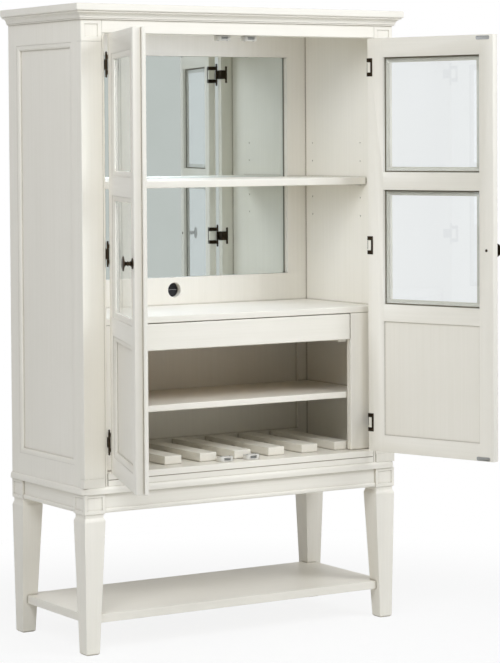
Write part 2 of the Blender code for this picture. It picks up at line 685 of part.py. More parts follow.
def support(y, bottom):
    """One L-shaped shelf support on the right: a peg in the side, a plate, and an arm under the shelf."""
    outer = INNER - SEAT
    plate = outer - PIN_PLATE
    arm_top = bottom - SEAT
    outline = [
        (outer, arm_top - PIN_PLATE), (outer, bottom + PIN_RISE + PIN_PLATE_WIDTH / 2),
        (plate, bottom + PIN_RISE + PIN_PLATE_WIDTH / 2), (plate, arm_top), (plate - PIN_ARM, arm_top),
        (plate - PIN_ARM, arm_top - PIN_PLATE),
    ]
    width = (y - PIN_PLATE_WIDTH / 2, y + PIN_PLATE_WIDTH / 2)
    bracket = extruded(outline, *width, front_to_back)
    rod = peg(y, bottom + PIN_RISE, plate + PIN_PLATE / 2, INNER + PIN_LENGTH, PIN_RADIUS)
    return combined(bracket, [rod], "UNION")


def add_shelf():
    reach = INNER - SHELF_PLAY
    bottom = UPPER_SHELF_BOTTOM
    mover = add_mover("shelf_lift", (0, (UPPER_SHELF_FRONT + SHELF_BACK) / 2, bottom))
    span_y = (UPPER_SHELF_FRONT, SHELF_BACK)
    shelf = board((-reach, reach), span_y, (bottom, bottom + UPPER_SHELF_THICKNESS), SOFT_EDGE)
    add_part("upper_shelf", shelf, PAINT, mover)
    add_pair("shelf_pin_front", support(UPPER_SHELF_FRONT + PIN_INSET, bottom), STEEL)
    add_pair("shelf_pin_back", support(SHELF_BACK - PIN_INSET, bottom), STEEL)


def add_drawer():
    mover = add_mover("drawer_slide", (0, INSIDE_FRONT, DRAWER_FOOT))
    wide = POST_INNER - DRAWER_GAP
    back_of_front = INSIDE_FRONT + DRAWER_FRONT_THICKNESS
    front = board((-wide, wide), (INSIDE_FRONT, back_of_front), (DRAWER_FOOT, DRAWER_TOP), SOFT_EDGE)
    add_part("drawer_front", front, PAINT, mover)
    outer = POST_INNER - DRAWER_PLAY
    inner = outer - DRAWER_BOARD
    end = BACK_FRONT - DRAWER_BACK_GAP
    box = board((-outer, outer), (back_of_front + SEAT, end), (DRAWER_SIDE_BOTTOM, DRAWER_SIDE_TOP))
    hollow = board((-inner, inner), (INSIDE_FRONT, end - DRAWER_BOARD),
                   (DRAWER_SIDE_BOTTOM + DRAWER_BOTTOM_THICKNESS, COUNTER_TOP), 0.0)
    add_part("drawer_box", combined(box, [hollow]), DRAWER_WOOD, mover)


def door_openings():
    """The three openings of the right door, shut: X span, then (Z span) from the bottom up."""
    across_x = (DOOR_MEETING_EDGE + DOOR_MEETING_STILE, DOOR_HINGE_EDGE - DOOR_HINGE_STILE)
    rails = DOOR_BOTTOM_RAIL + DOOR_LOCK_RAIL + DOOR_MIDDLE_RAIL + DOOR_TOP_RAIL
    clear = (DOOR_TOP - DOOR_FOOT - rails) / 3
    spans = []
    height = DOOR_FOOT
    for rail in (DOOR_BOTTOM_RAIL, DOOR_LOCK_RAIL, DOOR_MIDDLE_RAIL):
        height += rail
        spans.append((height, height + clear))
        height += clear
    return across_x, spans


def door_pieces():
    """The right door's pieces, shut: name, body, finish."""
    across_x, spans = door_openings()
    frame = board((DOOR_MEETING_EDGE, DOOR_HINGE_EDGE), (0, DOOR_THICKNESS), (DOOR_FOOT, DOOR_TOP))
    edge = ovolo(DOOR_MOULDING_WIDTH, DOOR_MOULDING_SINK, DOOR_MOULDING_DEPTH)
    edge += [(0, edge[-1][1]), (0, DOOR_THICKNESS + OVERCUT)]
    cuts = [pocket(across_x, span, edge, lambda x, z, sunk: (x, sunk, z)) for span in spans]
    hole = SCREW_RADIUS + SCREW_HOLE_PLAY
    x, z = knob_place()
    ends = (-OVERCUT, DOOR_THICKNESS + OVERCUT)
    profile = ((0, ends[0]), (hole, ends[0]), (hole, ends[1]), (0, ends[1]))
    cuts.append(turned(profile, lambda a, b, run: (x + a, run, z + b), 12))
    pane_x = shrunk(across_x, SEAT)
    glass_y = (GLASS_FRONT, GLASS_FRONT + GLASS_THICKNESS)
    panel_y = (GLASS_FRONT, GLASS_FRONT + DOOR_PANEL_THICKNESS)
    lower, middle, upper = [shrunk(span, SEAT) for span in spans]
    bottom_hinge, middle_hinge, top_hinge = hinge_heights()
    return (
        ("door_frame", combined(frame, cuts), PAINT),
        ("door_panel", board(pane_x, panel_y, lower, 0.0), PAINT),
        ("lower_glass", board(pane_x, glass_y, middle, 0.0), GLASS),
        ("upper_glass", board(pane_x, glass_y, upper, 0.0), GLASS),
        ("knob", knob(), BRONZE),
        ("bottom_hinge_door_leaf", door_leaf(bottom_hinge), BRONZE),
        ("middle_hinge_door_leaf", door_leaf(middle_hinge), BRONZE),
        ("top_hinge_door_leaf", door_leaf(top_hinge), BRONZE),
    )


def knob_place():
    return DOOR_MEETING_EDGE + DOOR_MEETING_STILE / 2, (DOOR_FOOT + DOOR_TOP) / 2 - KNOB_DROP


def knob():
    """A turned knob with its rosette on the outer face, and the screw through the door that holds it."""
    x, z = knob_place()
    dome = KNOB_LENGTH * 0.30
    rim = KNOB_LENGTH - dome
    back = -DOOR_THICKNESS - SEAT
    head = back - SCREW_HEAD_HEIGHT
    profile = [
        (0, head), (SCREW_HEAD_RADIUS * 0.4, head), (SCREW_HEAD_RADIUS * 0.8, head + SCREW_HEAD_HEIGHT * 0.3),
        (SCREW_HEAD_RADIUS, back), (SCREW_RADIUS, back), (SCREW_RADIUS, SEAT),
        (ROSETTE_RADIUS, SEAT), (ROSETTE_RADIUS, ROSETTE_THICKNESS * 0.6),
        (ROSETTE_RADIUS * 0.85, ROSETTE_THICKNESS), (KNOB_STEM * 1.3, ROSETTE_THICKNESS * 1.3),
        (KNOB_STEM, ROSETTE_THICKNESS * 2), (KNOB_STEM, rim - dome * 0.8),
        (KNOB_RADIUS * 0.8, rim - dome * 0.3),
    ]
    profile += [
        (KNOB_RADIUS * cos(radians(angle)), rim + dome * sin(radians(angle))) for angle in (0, 25, 45, 65, 80)
    ]
    profile.append((0, KNOB_LENGTH))
    return turned(profile, lambda a, b, out: (x + a, -out, z + b), 32)


def hinge_heights():
    return DOOR_FOOT + HINGE_INSET, (DOOR_FOOT + DOOR_TOP) / 2, DOOR_TOP - HINGE_INSET


def knuckle(z, profile):
    """A turned piece of hinge round the right door's hinge axis."""
    return turned(profile, lambda a, b, up: (HINGE_X + a, HINGE_Y + b, z + up), 16)


def door_leaf(z):
    """The door's half of a hinge: two knuckles with finials, two webs and a C-shaped leaf inside."""
    near = DOOR_HINGE_EDGE + SEAT
    far = DOOR_HINGE_EDGE - DOOR_LEAF_WIDTH
    face = DOOR_THICKNESS + SEAT
    back = face + LEAF_THICKNESS
    half = LEAF_HEIGHT / 2
    plan = [
        (near + LEAF_THICKNESS, HINGE_Y), (near + LEAF_THICKNESS, back), (far, back),
        (far, face), (near, face), (near, HINGE_Y),
    ]
    leaf = extruded(plan, z - half, z + half, in_plan)
    gap = KNUCKLE_SPLIT + KNUCKLE_GAP
    window = board((far + LEAF_BAR, OPENING), (-OVERCUT, DOOR_THICKNESS + OVERCUT), (z - gap, z + gap), 0.0)
    leaf = combined(leaf, [window])
    barrels = []
    for up in (-1, 1):
        profile = [
            (0, up * KNUCKLE_SPLIT), (KNUCKLE_RADIUS, up * KNUCKLE_SPLIT), (KNUCKLE_RADIUS, up * KNUCKLE_END),
            (KNUCKLE_RADIUS * 0.6, up * (KNUCKLE_END + FINIAL_LENGTH * 0.15)),
            (KNUCKLE_RADIUS, up * (KNUCKLE_END + FINIAL_LENGTH * 0.5)),
            (KNUCKLE_RADIUS * 0.7, up * (KNUCKLE_END + FINIAL_LENGTH * 0.85)),
            (0, up * (KNUCKLE_END + FINIAL_LENGTH)),
        ]
        barrels.append(knuckle(z, profile))
    return combined(leaf, barrels, "UNION")


def frame_leaf(z):
    """The case's half of a hinge: the middle knuckle, a web and a T-shaped leaf behind the pilaster."""
    near = OPENING - SEAT - LEAF_THICKNESS
    far = OPENING + FRAME_LEAF_WIDTH
    face = FACE_THICKNESS + SEAT
    back = face + LEAF_THICKNESS
    half = LEAF_HEIGHT / 2
    plan = [
        (near, HINGE_Y), (near + LEAF_THICKNESS, HINGE_Y), (near + LEAF_THICKNESS, face),
        (far, face), (far, back), (near, back),
    ]
    leaf = extruded(plan, z - half, z + half, in_plan)
    middle = KNUCKLE_SPLIT - KNUCKLE_GAP
    cuts = []
    for up in (-1, 1):
        beyond = sorted((z + up * (middle - KNUCKLE_GAP), z + up * LEAF_HEIGHT))
        cuts.append(board((near - OVERCUT, far - LEAF_BAR), (-OVERCUT, back + OVERCUT), beyond, 0.0))
    leaf = combined(leaf, cuts)
    profile = ((0, -middle), (KNUCKLE_RADIUS, -middle), (KNUCKLE_RADIUS, middle), (0, middle))
    return combined(leaf, [knuckle(z, profile)], "UNION")


def add_case_hardware():
    for place, z in zip(("bottom", "middle", "top"), hinge_heights()):
        leaf = frame_leaf(z)
        add_part(f"left_{place}_hinge_frame_leaf", mirrored(leaf), BRONZE)
        add_part(f"right_{place}_hinge_frame_leaf", leaf, BRONZE)
    middle = DOOR_MEETING_EDGE + CATCH_INSET
    x = (middle - CATCH_WIDTH / 2, middle + CATCH_WIDTH / 2)
    y = (CATCH_FRONT, CATCH_FRONT + CATCH_DEPTH)
    top = FRIEZE_BOTTOM - SEAT
    foot = FLOOR_TOP + SEAT
    add_pair("top_catch", board(x, y, (top - CATCH_HEIGHT, top), SOFT_EDGE), WHITE_PLASTIC)
    add_pair("bottom_catch", board(x, y, (foot, foot + CATCH_HEIGHT), SOFT_EDGE), WHITE_PLASTIC)


def add_doors():
    right = add_mover("right_hinge", (HINGE_X, HINGE_Y, 0))
    left = add_mover("left_hinge", (-HINGE_X, HINGE_Y, 0))
    for name, body, finish in door_pieces():
        add_part("left_" + name, mirrored(body), finish, left)
        add_part("right_" + name, body, finish, right)
    strip_x = (-DOOR_MEETING_EDGE - ASTRAGAL_HOLD, DOOR_MEETING_EDGE + ASTRAGAL_LAP)
    strip = board(strip_x, (DOOR_THICKNESS + ASTRAGAL_GAP, ASTRAGAL_BACK), (DOOR_FOOT, DOOR_TOP), SOFT_EDGE)
    add_part("left_astragal", strip, PAINT, left)
    right.rotation_euler.z = RIGHT_OPEN
    left.rotation_euler.z = -LEFT_OPEN


clear_scene()
add_stand()
add_case_front()
add_top()
add_pair("side", side(), PAINT)
add_back()
add_inside()
add_rack()
add_shelf()
add_drawer()
add_case_hardware()
add_doors()
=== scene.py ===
# %% [markdown]
# # A painted bar cabinet
# The construction of this cabinet is already finished: sixty solids, each on the body that it moves with.
# They come in as a fixed frame, and this lesson gives them their looks. Wooden parts that have the right
# shape keep it and get paint, glass or metal. Small hardware is modelled again, finer than the solids.

# %% Load the frame
import json
from math import cos, pi, radians, sin

import bmesh
import bpy
from mathutils import Matrix, Vector


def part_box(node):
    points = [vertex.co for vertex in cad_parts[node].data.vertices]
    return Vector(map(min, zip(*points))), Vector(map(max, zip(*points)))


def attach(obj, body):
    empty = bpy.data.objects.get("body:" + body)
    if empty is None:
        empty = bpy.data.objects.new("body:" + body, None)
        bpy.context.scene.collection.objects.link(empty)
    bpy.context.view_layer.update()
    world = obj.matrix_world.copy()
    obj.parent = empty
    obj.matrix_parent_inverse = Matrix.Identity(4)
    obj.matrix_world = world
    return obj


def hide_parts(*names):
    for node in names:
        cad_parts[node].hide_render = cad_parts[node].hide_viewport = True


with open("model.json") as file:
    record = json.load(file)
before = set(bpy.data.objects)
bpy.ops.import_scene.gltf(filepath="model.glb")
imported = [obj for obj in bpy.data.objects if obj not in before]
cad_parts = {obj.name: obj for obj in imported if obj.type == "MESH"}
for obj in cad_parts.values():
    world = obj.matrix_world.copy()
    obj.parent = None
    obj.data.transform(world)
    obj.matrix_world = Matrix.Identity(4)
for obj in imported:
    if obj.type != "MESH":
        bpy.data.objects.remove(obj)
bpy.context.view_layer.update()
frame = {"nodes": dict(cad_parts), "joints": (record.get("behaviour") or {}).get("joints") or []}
nodes = frame["nodes"]

# %% [markdown]
# Both doors stand open. Hardware is far easier to model on a shut door, where every face is square to an
# axis, so each door's hinge gives one matrix that swings a piece from the shut door to the open one. The
# hinge's lower limit is the shut door, so the swing is that limit taken back.

# %% From a shut door to an open one
hinges = {joint["child"]: joint for joint in frame["joints"] if joint["type"] == "hinge"}


def opening_swing(door):
    """The matrix that takes a piece from the shut door to the open one."""
    hinge = hinges[door]
    pivot = Matrix.Translation(hinge["pos_m"])
    turn = Matrix.Rotation(radians(-hinge["range_deg"][0]), 4, Vector(hinge["axis"]))
    return pivot @ turn @ pivot.inverted()


swing = {door: opening_swing(door) for door in hinges}


def shut_box(node, door):
    """The lowest and highest corner of a door's node, with that door shut."""
    back = swing[door].inverted()
    corners = [back @ vertex.co for vertex in nodes[node].data.vertices]
    low = Vector([min(corner[axis] for corner in corners) for axis in range(3)])
    high = Vector([max(corner[axis] for corner in corners) for axis in range(3)])
    return low, high


door_low, door_high = shut_box("right_door_frame", "right_door")
print("The right door, shut, spans X", round(door_low.x, 4), "to", round(door_high.x, 4))

# %% [markdown]
# The camera stands to the left of the cabinet at about eye height, with a long lens. A photographer who
# wants upright lines to stay upright keeps the camera nearly level and slides the lens instead, so a little
# vertical shift frames the feet.

# %% Camera
PHOTO_HEIGHT = 663
FOCAL_PIXELS = 2471.0
CAMERA_PLACE = (-3.7874, -6.0815, 1.4585)
CAMERA_YAW = radians(32.06)
CAMERA_PITCH = radians(-2.074)
CAMERA_ROLL = radians(-0.344)
LENS_SHIFT = -0.16

camera_data = bpy.data.cameras.new("portrait_camera")
camera_data.lens = camera_data.sensor_width * FOCAL_PIXELS / PHOTO_HEIGHT
camera_data.shift_y = LENS_SHIFT
camera = bpy.data.objects.new("portrait_camera", camera_data)
bpy.context.scene.collection.objects.link(camera)
aim = Matrix.Rotation(-CAMERA_YAW, 4, "Z") @ Matrix.Rotation(pi / 2 + CAMERA_PITCH, 4, "X")
camera.matrix_world = Matrix.Translation(CAMERA_PLACE) @ aim @ Matrix.Rotation(CAMERA_ROLL, 4, "Z")
bpy.context.scene.camera = camera
bpy.context.scene.view_settings.view_transform = "Standard"
print("Lens", round(camera_data.lens, 1), "mm")

# %% [markdown]
# Colours are written as the sRGB hex values that a paint chart shows, and shaders work in linear light, so
# one function turns one into the other. A second small function adds a node, sets its properties, and fills
# its inputs with plain values or with links. A Map Range node's inputs, for example, are filled in order: the
# value, the span that it comes from, and the span that it goes to.

# %% Colours and nodes


def colour(hex_code):
    """A linear RGBA colour from an sRGB hex value such as #808080."""
    parts = [int(hex_code[start:start + 2], 16) / 255 for start in (1, 3, 5)]
    linear = [part / 12.92 if part <= 0.04045 else ((part + 0.055) / 1.055) ** 2.4 for part in parts]
    return (*linear, 1.0)


def add_node(tree, kind, inputs=(), **settings):
    """Adds a node. Inputs are filled in order, or by name or number, with values or other nodes' sockets."""
    node = tree.nodes.new(f"ShaderNode{kind}")
    for name, value in settings.items():
        setattr(node, name, value)
    for name, value in inputs.items() if isinstance(inputs, dict) else enumerate(inputs):
        if isinstance(value, bpy.types.NodeSocket):
            tree.links.new(value, node.inputs[name])
        else:
            node.inputs[name].default_value = value
    return node


def new_material(name):
    """A material with only its output and the Principled shader that feeds it."""
    material = bpy.data.materials.new(name)
    material.use_nodes = True
    tree = material.node_tree
    tree.nodes.clear()
    shader = add_node(tree, "BsdfPrincipled")
    add_node(tree, "OutputMaterial", {"Surface": shader.outputs["BSDF"]})
    return material, tree, shader


print("Mid grey in linear light", round(colour("#808080")[0], 3))

# %% [markdown]
# A few steps come back in several finishes. An edge is near wherever a rounded surface normal leaves the flat
# one, so this pair finds the edges that hands and cloths rub and that get a painted highlight. Most finishes
# also end alike, with a colour, a roughness and a bump, and glass and floor send a mix of two shaders to
# their output.

# %% Steps that come back
WHOLE = (0.0, 1.0)
EDGE_SAMPLES = 4


def worn_and_highlit_edges(tree, radius, span, share):
    """How much wear and painted highlight each place gets, up to a share on sharp edges, and the normal with
    rounded edges.
    """
    rounded = add_node(tree, "Bevel", {"Radius": radius}, samples=EDGE_SAMPLES).outputs[0]
    flat = add_node(tree, "NewGeometry").outputs["Normal"]
    level = add_node(tree, "VectorMath", (rounded, flat), operation="DOT_PRODUCT").outputs[1]
    return add_node(tree, "MapRange", (level, *span, share, 0.0)).outputs[0], rounded


def dress(tree, shader, tone, gloss, relief):
    """Gives the shader its colour, its roughness and its bumpy normal."""
    for name, socket in (("Base Color", tone), ("Roughness", gloss), ("Normal", relief)):
        tree.links.new(socket, shader.inputs[name])


def show(tree, surface):
    """Sends another shader to the material's output."""
    output = next(node for node in tree.nodes if node.type == "OUTPUT_MATERIAL")
    tree.links.new(surface, output.inputs["Surface"])


print("Rounded normals take", EDGE_SAMPLES, "samples")

# %% [markdown]
# The woodwork is solid wood and boards under a sprayed cream enamel that was brushed out by hand. Up close
# the brush leaves faint streaks along each board. Corners and quirks are darkened warm, partly a thin glaze
# and partly painted shade, open joints are painted dark, partly dust and partly shade, and edges are painted
# a little paler, partly rubbed wear and partly a painted highlight. The streaks are noise stretched along the
# board: about 6 mm wide, so that they still show from across a room, and half a metre long. A board can lie
# along X, Y or Z, and the rails of an open door lie along none of them, so the pattern is turned with its
# door. An ambient occlusion node finds the corners and joints that get the painted shade. Behind a pane it
# finds the glass too, so doors take less glaze and painted shade.

# %% Cream enamel
CREAM = "#F3EEE2"
CREAM_STREAK = "#EFEADD"
# The glaze colour darkens corners, partly a thin glaze and partly painted shade. The joint colour darkens
# open joints, partly dust and partly painted shade.
GLAZE_AND_SHADE = "#94876E"
JOINT_SHADE = "#4A4336"
# The paler edge colour is partly rubbed wear and partly a painted highlight.
EDGE_WEAR_AND_HIGHLIGHT = "#F8F5EE"
STREAK_WIDTH = 0.006
STREAK_LENGTH = 0.50
BROAD_STREAK = 0.7
FINE_STREAK = 2.6
CLOUD_SIZE = 0.22
CLOUD_SHARE = 0.8
STREAK_SPAN = (1.05, 1.75)
GLAZE_AND_SHADE_REACH = 0.007
GLAZE_AND_SHADE_SAMPLES = 6
GLAZE_AND_SHADE_SPAN = (0.45, 0.90)
GLAZE_AND_SHADE_IN_CORNERS = 0.62
GLAZE_AND_SHADE_ON_DOORS = 0.46
JOINT_SPAN = (0.0, 0.25)
SHADE_IN_JOINTS = 0.75
EDGE_ROUND = 0.0016
EDGE_SPAN = (0.80, 0.99)
EDGE_SHARE = 0.5
ENAMEL_ROUGHNESS = (0.36, 0.52)
BRUSH_STRENGTH = 0.12
BRUSH_DEPTH = 0.0004


def cream_enamel(name, along, turn=0.0, glaze_and_shade_share=GLAZE_AND_SHADE_IN_CORNERS, joint_shade_share=SHADE_IN_JOINTS):
    """Brushed cream enamel with its streaks along X (0), Y (1) or Z (2), turned about Z with a door."""
    material, tree, shader = new_material(name)
    place = add_node(tree, "TexCoord").outputs["Object"]
    turned = add_node(tree, "Mapping", {"Vector": place, "Rotation": (0, 0, -turn)}).outputs[0]
    stretch = [1 / STREAK_WIDTH] * 3
    stretch[along] = 1 / STREAK_LENGTH
    grain = add_node(tree, "Mapping", {"Vector": turned, "Scale": stretch}).outputs[0]
    broad = add_node(tree, "TexNoise", {"Vector": grain, "Scale": BROAD_STREAK, "Detail": 2}).outputs[0]
    fine = add_node(tree, "TexNoise", {"Vector": grain, "Scale": FINE_STREAK, "Detail": 3}).outputs[0]
    cloud = add_node(tree, "TexNoise", {"Vector": place, "Scale": 1 / CLOUD_SIZE}).outputs[0]
    brushed = add_node(tree, "Math", (broad, fine), operation="ADD").outputs[0]
    blotted = add_node(tree, "Math", (cloud, CLOUD_SHARE, brushed), operation="MULTIPLY_ADD").outputs[0]
    # Ambient occlusion is the mask for the painted shade in corners and open joints, mixed with the glaze.
    corner = add_node(tree, "AmbientOcclusion", {"Distance": GLAZE_AND_SHADE_REACH}, samples=GLAZE_AND_SHADE_SAMPLES)
    openness = corner.outputs["AO"]
    streak = add_node(tree, "MapRange", (blotted, *STREAK_SPAN)).outputs[0]
    glaze_and_shade = add_node(tree, "MapRange", (openness, *GLAZE_AND_SHADE_SPAN, glaze_and_shade_share, 0.0)).outputs[0]
    joint = add_node(tree, "MapRange", (openness, *JOINT_SPAN, joint_shade_share, 0.0)).outputs[0]
    # Sharp edges are painted paler: partly rubbed wear, partly a painted highlight.
    wear_and_highlight, rounded = worn_and_highlit_edges(tree, EDGE_ROUND, EDGE_SPAN, EDGE_SHARE)
    coat = colour(CREAM)
    for share, tint in ((streak, CREAM_STREAK), (glaze_and_shade, GLAZE_AND_SHADE), (joint, JOINT_SHADE), (wear_and_highlight, EDGE_WEAR_AND_HIGHLIGHT)):
        coat = add_node(tree, "Mix", {0: share, 6: coat, 7: colour(tint)}, data_type="RGBA").outputs[2]
    gloss = add_node(tree, "MapRange", (fine, *WHOLE, *ENAMEL_ROUGHNESS)).outputs[0]
    relief = add_node(tree, "Bump", {
        "Height": brushed, "Strength": BRUSH_STRENGTH, "Distance": BRUSH_DEPTH, "Normal": rounded,
    }).outputs[0]
    dress(tree, shader, coat, gloss, relief)
    return material


enamel_across = cream_enamel("cream_enamel_across", 0)
enamel_deep = cream_enamel("cream_enamel_front_to_back", 1)
enamel_upright = cream_enamel("cream_enamel_upright", 2)
door_angle = {door: -radians(hinges[door]["range_deg"][0]) * hinges[door]["axis"][2] for door in hinges}
enamel_rails = {
    door: cream_enamel(f"cream_enamel_{door}_rails", 0, door_angle[door], GLAZE_AND_SHADE_ON_DOORS, joint_shade_share=0.0)
    for door in hinges
}
enamel_stiles = cream_enamel("cream_enamel_door_stiles", 2, glaze_and_shade_share=GLAZE_AND_SHADE_ON_DOORS, joint_shade_share=0.0)
print("Rails are turned by", [round(angle, 3) for angle in door_angle.values()], "radians")

# %% [markdown]
# Window glass is clear, slightly cool, and as smooth as a liquid. It is a thin solid here, so the shader
# bends light at both faces. Lamps would have to find their way through it by chance, so rays that look for
# a lamp pass straight through instead. The mirror is the same float glass with silver behind it. A dark band
# a few millimetres wide along its two upright edges is painted shade, for the shadowed gap at the frame's
# rebate.

# %% Glass and mirror
GLASS_TINT = "#EBEEEF"
GLASS_IOR = 1.52
GLASS_ROUGHNESS = (0.0, 0.02)
MIRROR_SILVER = "#DCE3E3"
MIRROR_CLOUD = "#D7DEDD"
# Painted shade: the dark band along the mirror's two upright edges.
MIRROR_EDGE_SHADE = "#7B7E78"
MIRROR_ROUGHNESS = (0.0, 0.03)
MIRROR_SHADE_BAND = 0.005
MIRROR_FADE = 0.0015
SMEAR_SIZE = 0.09


def window_glass():
    material, tree, shader = new_material("clear_float_glass")
    shader.inputs["Base Color"].default_value = colour(GLASS_TINT)
    shader.inputs["Transmission Weight"].default_value = 1.0
    shader.inputs["IOR"].default_value = GLASS_IOR
    place = add_node(tree, "TexCoord").outputs["Object"]
    smear = add_node(tree, "TexNoise", {"Vector": place, "Scale": 1 / SMEAR_SIZE, "Detail": 3}).outputs[0]
    wiped = add_node(tree, "MapRange", (smear, *WHOLE, *GLASS_ROUGHNESS)).outputs[0]
    tree.links.new(wiped, shader.inputs["Roughness"])
    clear = add_node(tree, "BsdfTransparent", {"Color": colour(GLASS_TINT)}).outputs[0]
    shadow_ray = add_node(tree, "LightPath").outputs["Is Shadow Ray"]
    show(tree, add_node(tree, "MixShader", (shadow_ray, shader.outputs[0], clear)).outputs[0])
    return material


def silvered_mirror():
    material, tree, shader = new_material("silvered_mirror")
    shader.inputs["Metallic"].default_value = 1.0
    place = add_node(tree, "TexCoord").outputs["Object"]
    smear = add_node(tree, "TexNoise", {"Vector": place, "Scale": 1 / SMEAR_SIZE, "Detail": 4}).outputs[0]
    across = add_node(tree, "SeparateXYZ", (place,)).outputs["X"]
    sideways = add_node(tree, "Math", (across,), operation="ABSOLUTE").outputs[0]
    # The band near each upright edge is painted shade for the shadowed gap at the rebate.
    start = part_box("mirror")[1].x - MIRROR_SHADE_BAND
    painted_edge_shade = add_node(tree, "MapRange", (sideways, start, start + MIRROR_FADE)).outputs[0]
    silver = colour(MIRROR_SILVER)
    for share, tint in ((smear, MIRROR_CLOUD), (painted_edge_shade, MIRROR_EDGE_SHADE)):
        silver = add_node(tree, "Mix", {0: share, 6: silver, 7: colour(tint)}, data_type="RGBA").outputs[2]
    tree.links.new(silver, shader.inputs["Base Color"])
    wiped = add_node(tree, "MapRange", (smear, *WHOLE, *MIRROR_ROUGHNESS)).outputs[0]
    tree.links.new(wiped, shader.inputs["Roughness"])
    return material


glass = window_glass()
mirror_silver = silvered_mirror()
print("Glass IOR", GLASS_IOR)

# %% [markdown]
# Knobs and hinges are cast brass under a dark, oil-rubbed bronze patina. The colour moves from near black to
# a warm brown where the surface turns sharply, partly the high edges rubbed back by handling and partly a
# painted highlight. Plates and shelf pins are zinc-plated steel, grey with a fine crystalline spangle. Catch
# housings are moulded white plastic, and the drawer box is clear-finished birch with its grain running to
# the back.

# %% Metal, plastic and bare wood
NO_METAL = 0.0
ALL_METAL = 1.0
BRONZE_DARK = "#2A231A"
BRONZE_BROWN = "#43382B"
# The brown on sharp edges is partly rubbed wear and partly a painted highlight.
BRONZE_WEAR_AND_HIGHLIGHT = "#7A5F42"
BRONZE_METALLIC = 0.9
BRONZE_ROUGHNESS = (0.30, 0.46)
BRONZE_ROUND = 0.0006
BRONZE_EDGE_SPAN = (0.75, 0.98)
BRONZE_EDGE_SHARE = 0.8
ZINC_LIGHT = "#B4B5B4"
ZINC_DARK = "#8A8C8C"
ZINC_ROUGHNESS = (0.28, 0.45)
PLASTIC_WHITE = "#E9E7E1"
PLASTIC_SHADE = "#DAD7CE"
PLASTIC_ROUGHNESS = (0.35, 0.5)
BIRCH_LIGHT = "#D9C39C"
BIRCH_DARK = "#B8976A"
BIRCH_ROUGHNESS = (0.42, 0.6)
PATINA_SIZE = 0.004
SPANGLE_SIZE = 0.003
GRAIN_WIDTH = 0.007
GRAIN_LENGTH = 0.30
GRAIN_WAVE = 0.6
GRAIN_STRENGTH = 0.2
GRAIN_DEPTH = 0.0003
MOULD_TEXTURE = 0.0008
PATCH_SPAN = (0.3, 0.7)
SPECKLE_STRENGTH = 0.1
SPECKLE_DEPTH = 0.05


def speckled(name, size, dark, light, metallic, roughness):
    """A finish that wanders between two colours in patches of one size, with roughness from low to high."""
    material, tree, shader = new_material(name)
    shader.inputs["Metallic"].default_value = metallic
    place = add_node(tree, "TexCoord").outputs["Object"]
    patch = add_node(tree, "TexNoise", {"Vector": place, "Scale": 1 / size, "Detail": 3}).outputs[0]
    ends = {0: patch, 6: colour(dark), 7: colour(light)}
    tone = add_node(tree, "Mix", ends, data_type="RGBA").outputs[2]
    gloss = add_node(tree, "MapRange", (patch, *PATCH_SPAN, *roughness)).outputs[0]
    depth = size * SPECKLE_DEPTH
    relief = add_node(tree, "Bump", {"Height": patch, "Strength": SPECKLE_STRENGTH, "Distance": depth})
    dress(tree, shader, tone, gloss, relief.outputs[0])
    return material, tree, shader, tone


def rubbed_bronze():
    material, tree, shader, tone = speckled("oil_rubbed_bronze", PATINA_SIZE, BRONZE_DARK, BRONZE_BROWN,
                                            BRONZE_METALLIC, BRONZE_ROUGHNESS)
    # Sharp edges turn brown: partly rubbed wear, partly a painted highlight.
    wear_and_highlight = worn_and_highlit_edges(tree, BRONZE_ROUND, BRONZE_EDGE_SPAN, BRONZE_EDGE_SHARE)[0]
    worn_and_highlit = add_node(tree, "Mix", {0: wear_and_highlight, 6: tone, 7: colour(BRONZE_WEAR_AND_HIGHLIGHT)}, data_type="RGBA").outputs[2]
    tree.links.new(worn_and_highlit, shader.inputs["Base Color"])
    return material


def clear_birch():
    material, tree, shader = new_material("clear_finished_birch")
    place = add_node(tree, "TexCoord").outputs["Object"]
    stretch = (1 / GRAIN_WIDTH, 1 / GRAIN_LENGTH, 1 / GRAIN_WIDTH)
    grain = add_node(tree, "Mapping", {"Vector": place, "Scale": stretch}).outputs[0]
    bands = add_node(tree, "TexNoise", {
        "Vector": grain, "Scale": 1.0, "Detail": 4, "Distortion": GRAIN_WAVE,
    }).outputs[0]
    share = add_node(tree, "MapRange", (bands, *PATCH_SPAN)).outputs[0]
    ends = {0: share, 6: colour(BIRCH_LIGHT), 7: colour(BIRCH_DARK)}
    wood = add_node(tree, "Mix", ends, data_type="RGBA").outputs[2]
    gloss = add_node(tree, "MapRange", (bands, *WHOLE, *BIRCH_ROUGHNESS)).outputs[0]
    relief = add_node(tree, "Bump", {"Height": bands, "Strength": GRAIN_STRENGTH, "Distance": GRAIN_DEPTH})
    dress(tree, shader, wood, gloss, relief.outputs[0])
    return material


bronze = rubbed_bronze()
zinc = speckled("zinc_plated_steel", SPANGLE_SIZE, ZINC_DARK, ZINC_LIGHT, ALL_METAL, ZINC_ROUGHNESS)[0]
plastic = speckled("moulded_white_plastic", MOULD_TEXTURE, PLASTIC_SHADE, PLASTIC_WHITE, NO_METAL,
                   PLASTIC_ROUGHNESS)[0]
birch = clear_birch()
print("Hardware finishes:", bronze.name, zinc.name, plastic.name, birch.name)

# %% [markdown]
# Now the solids that keep their shape get their finish. Upright boards take upright streaks, rails and
# shelves take streaks along their length, and boards that run to the back take streaks front to back.

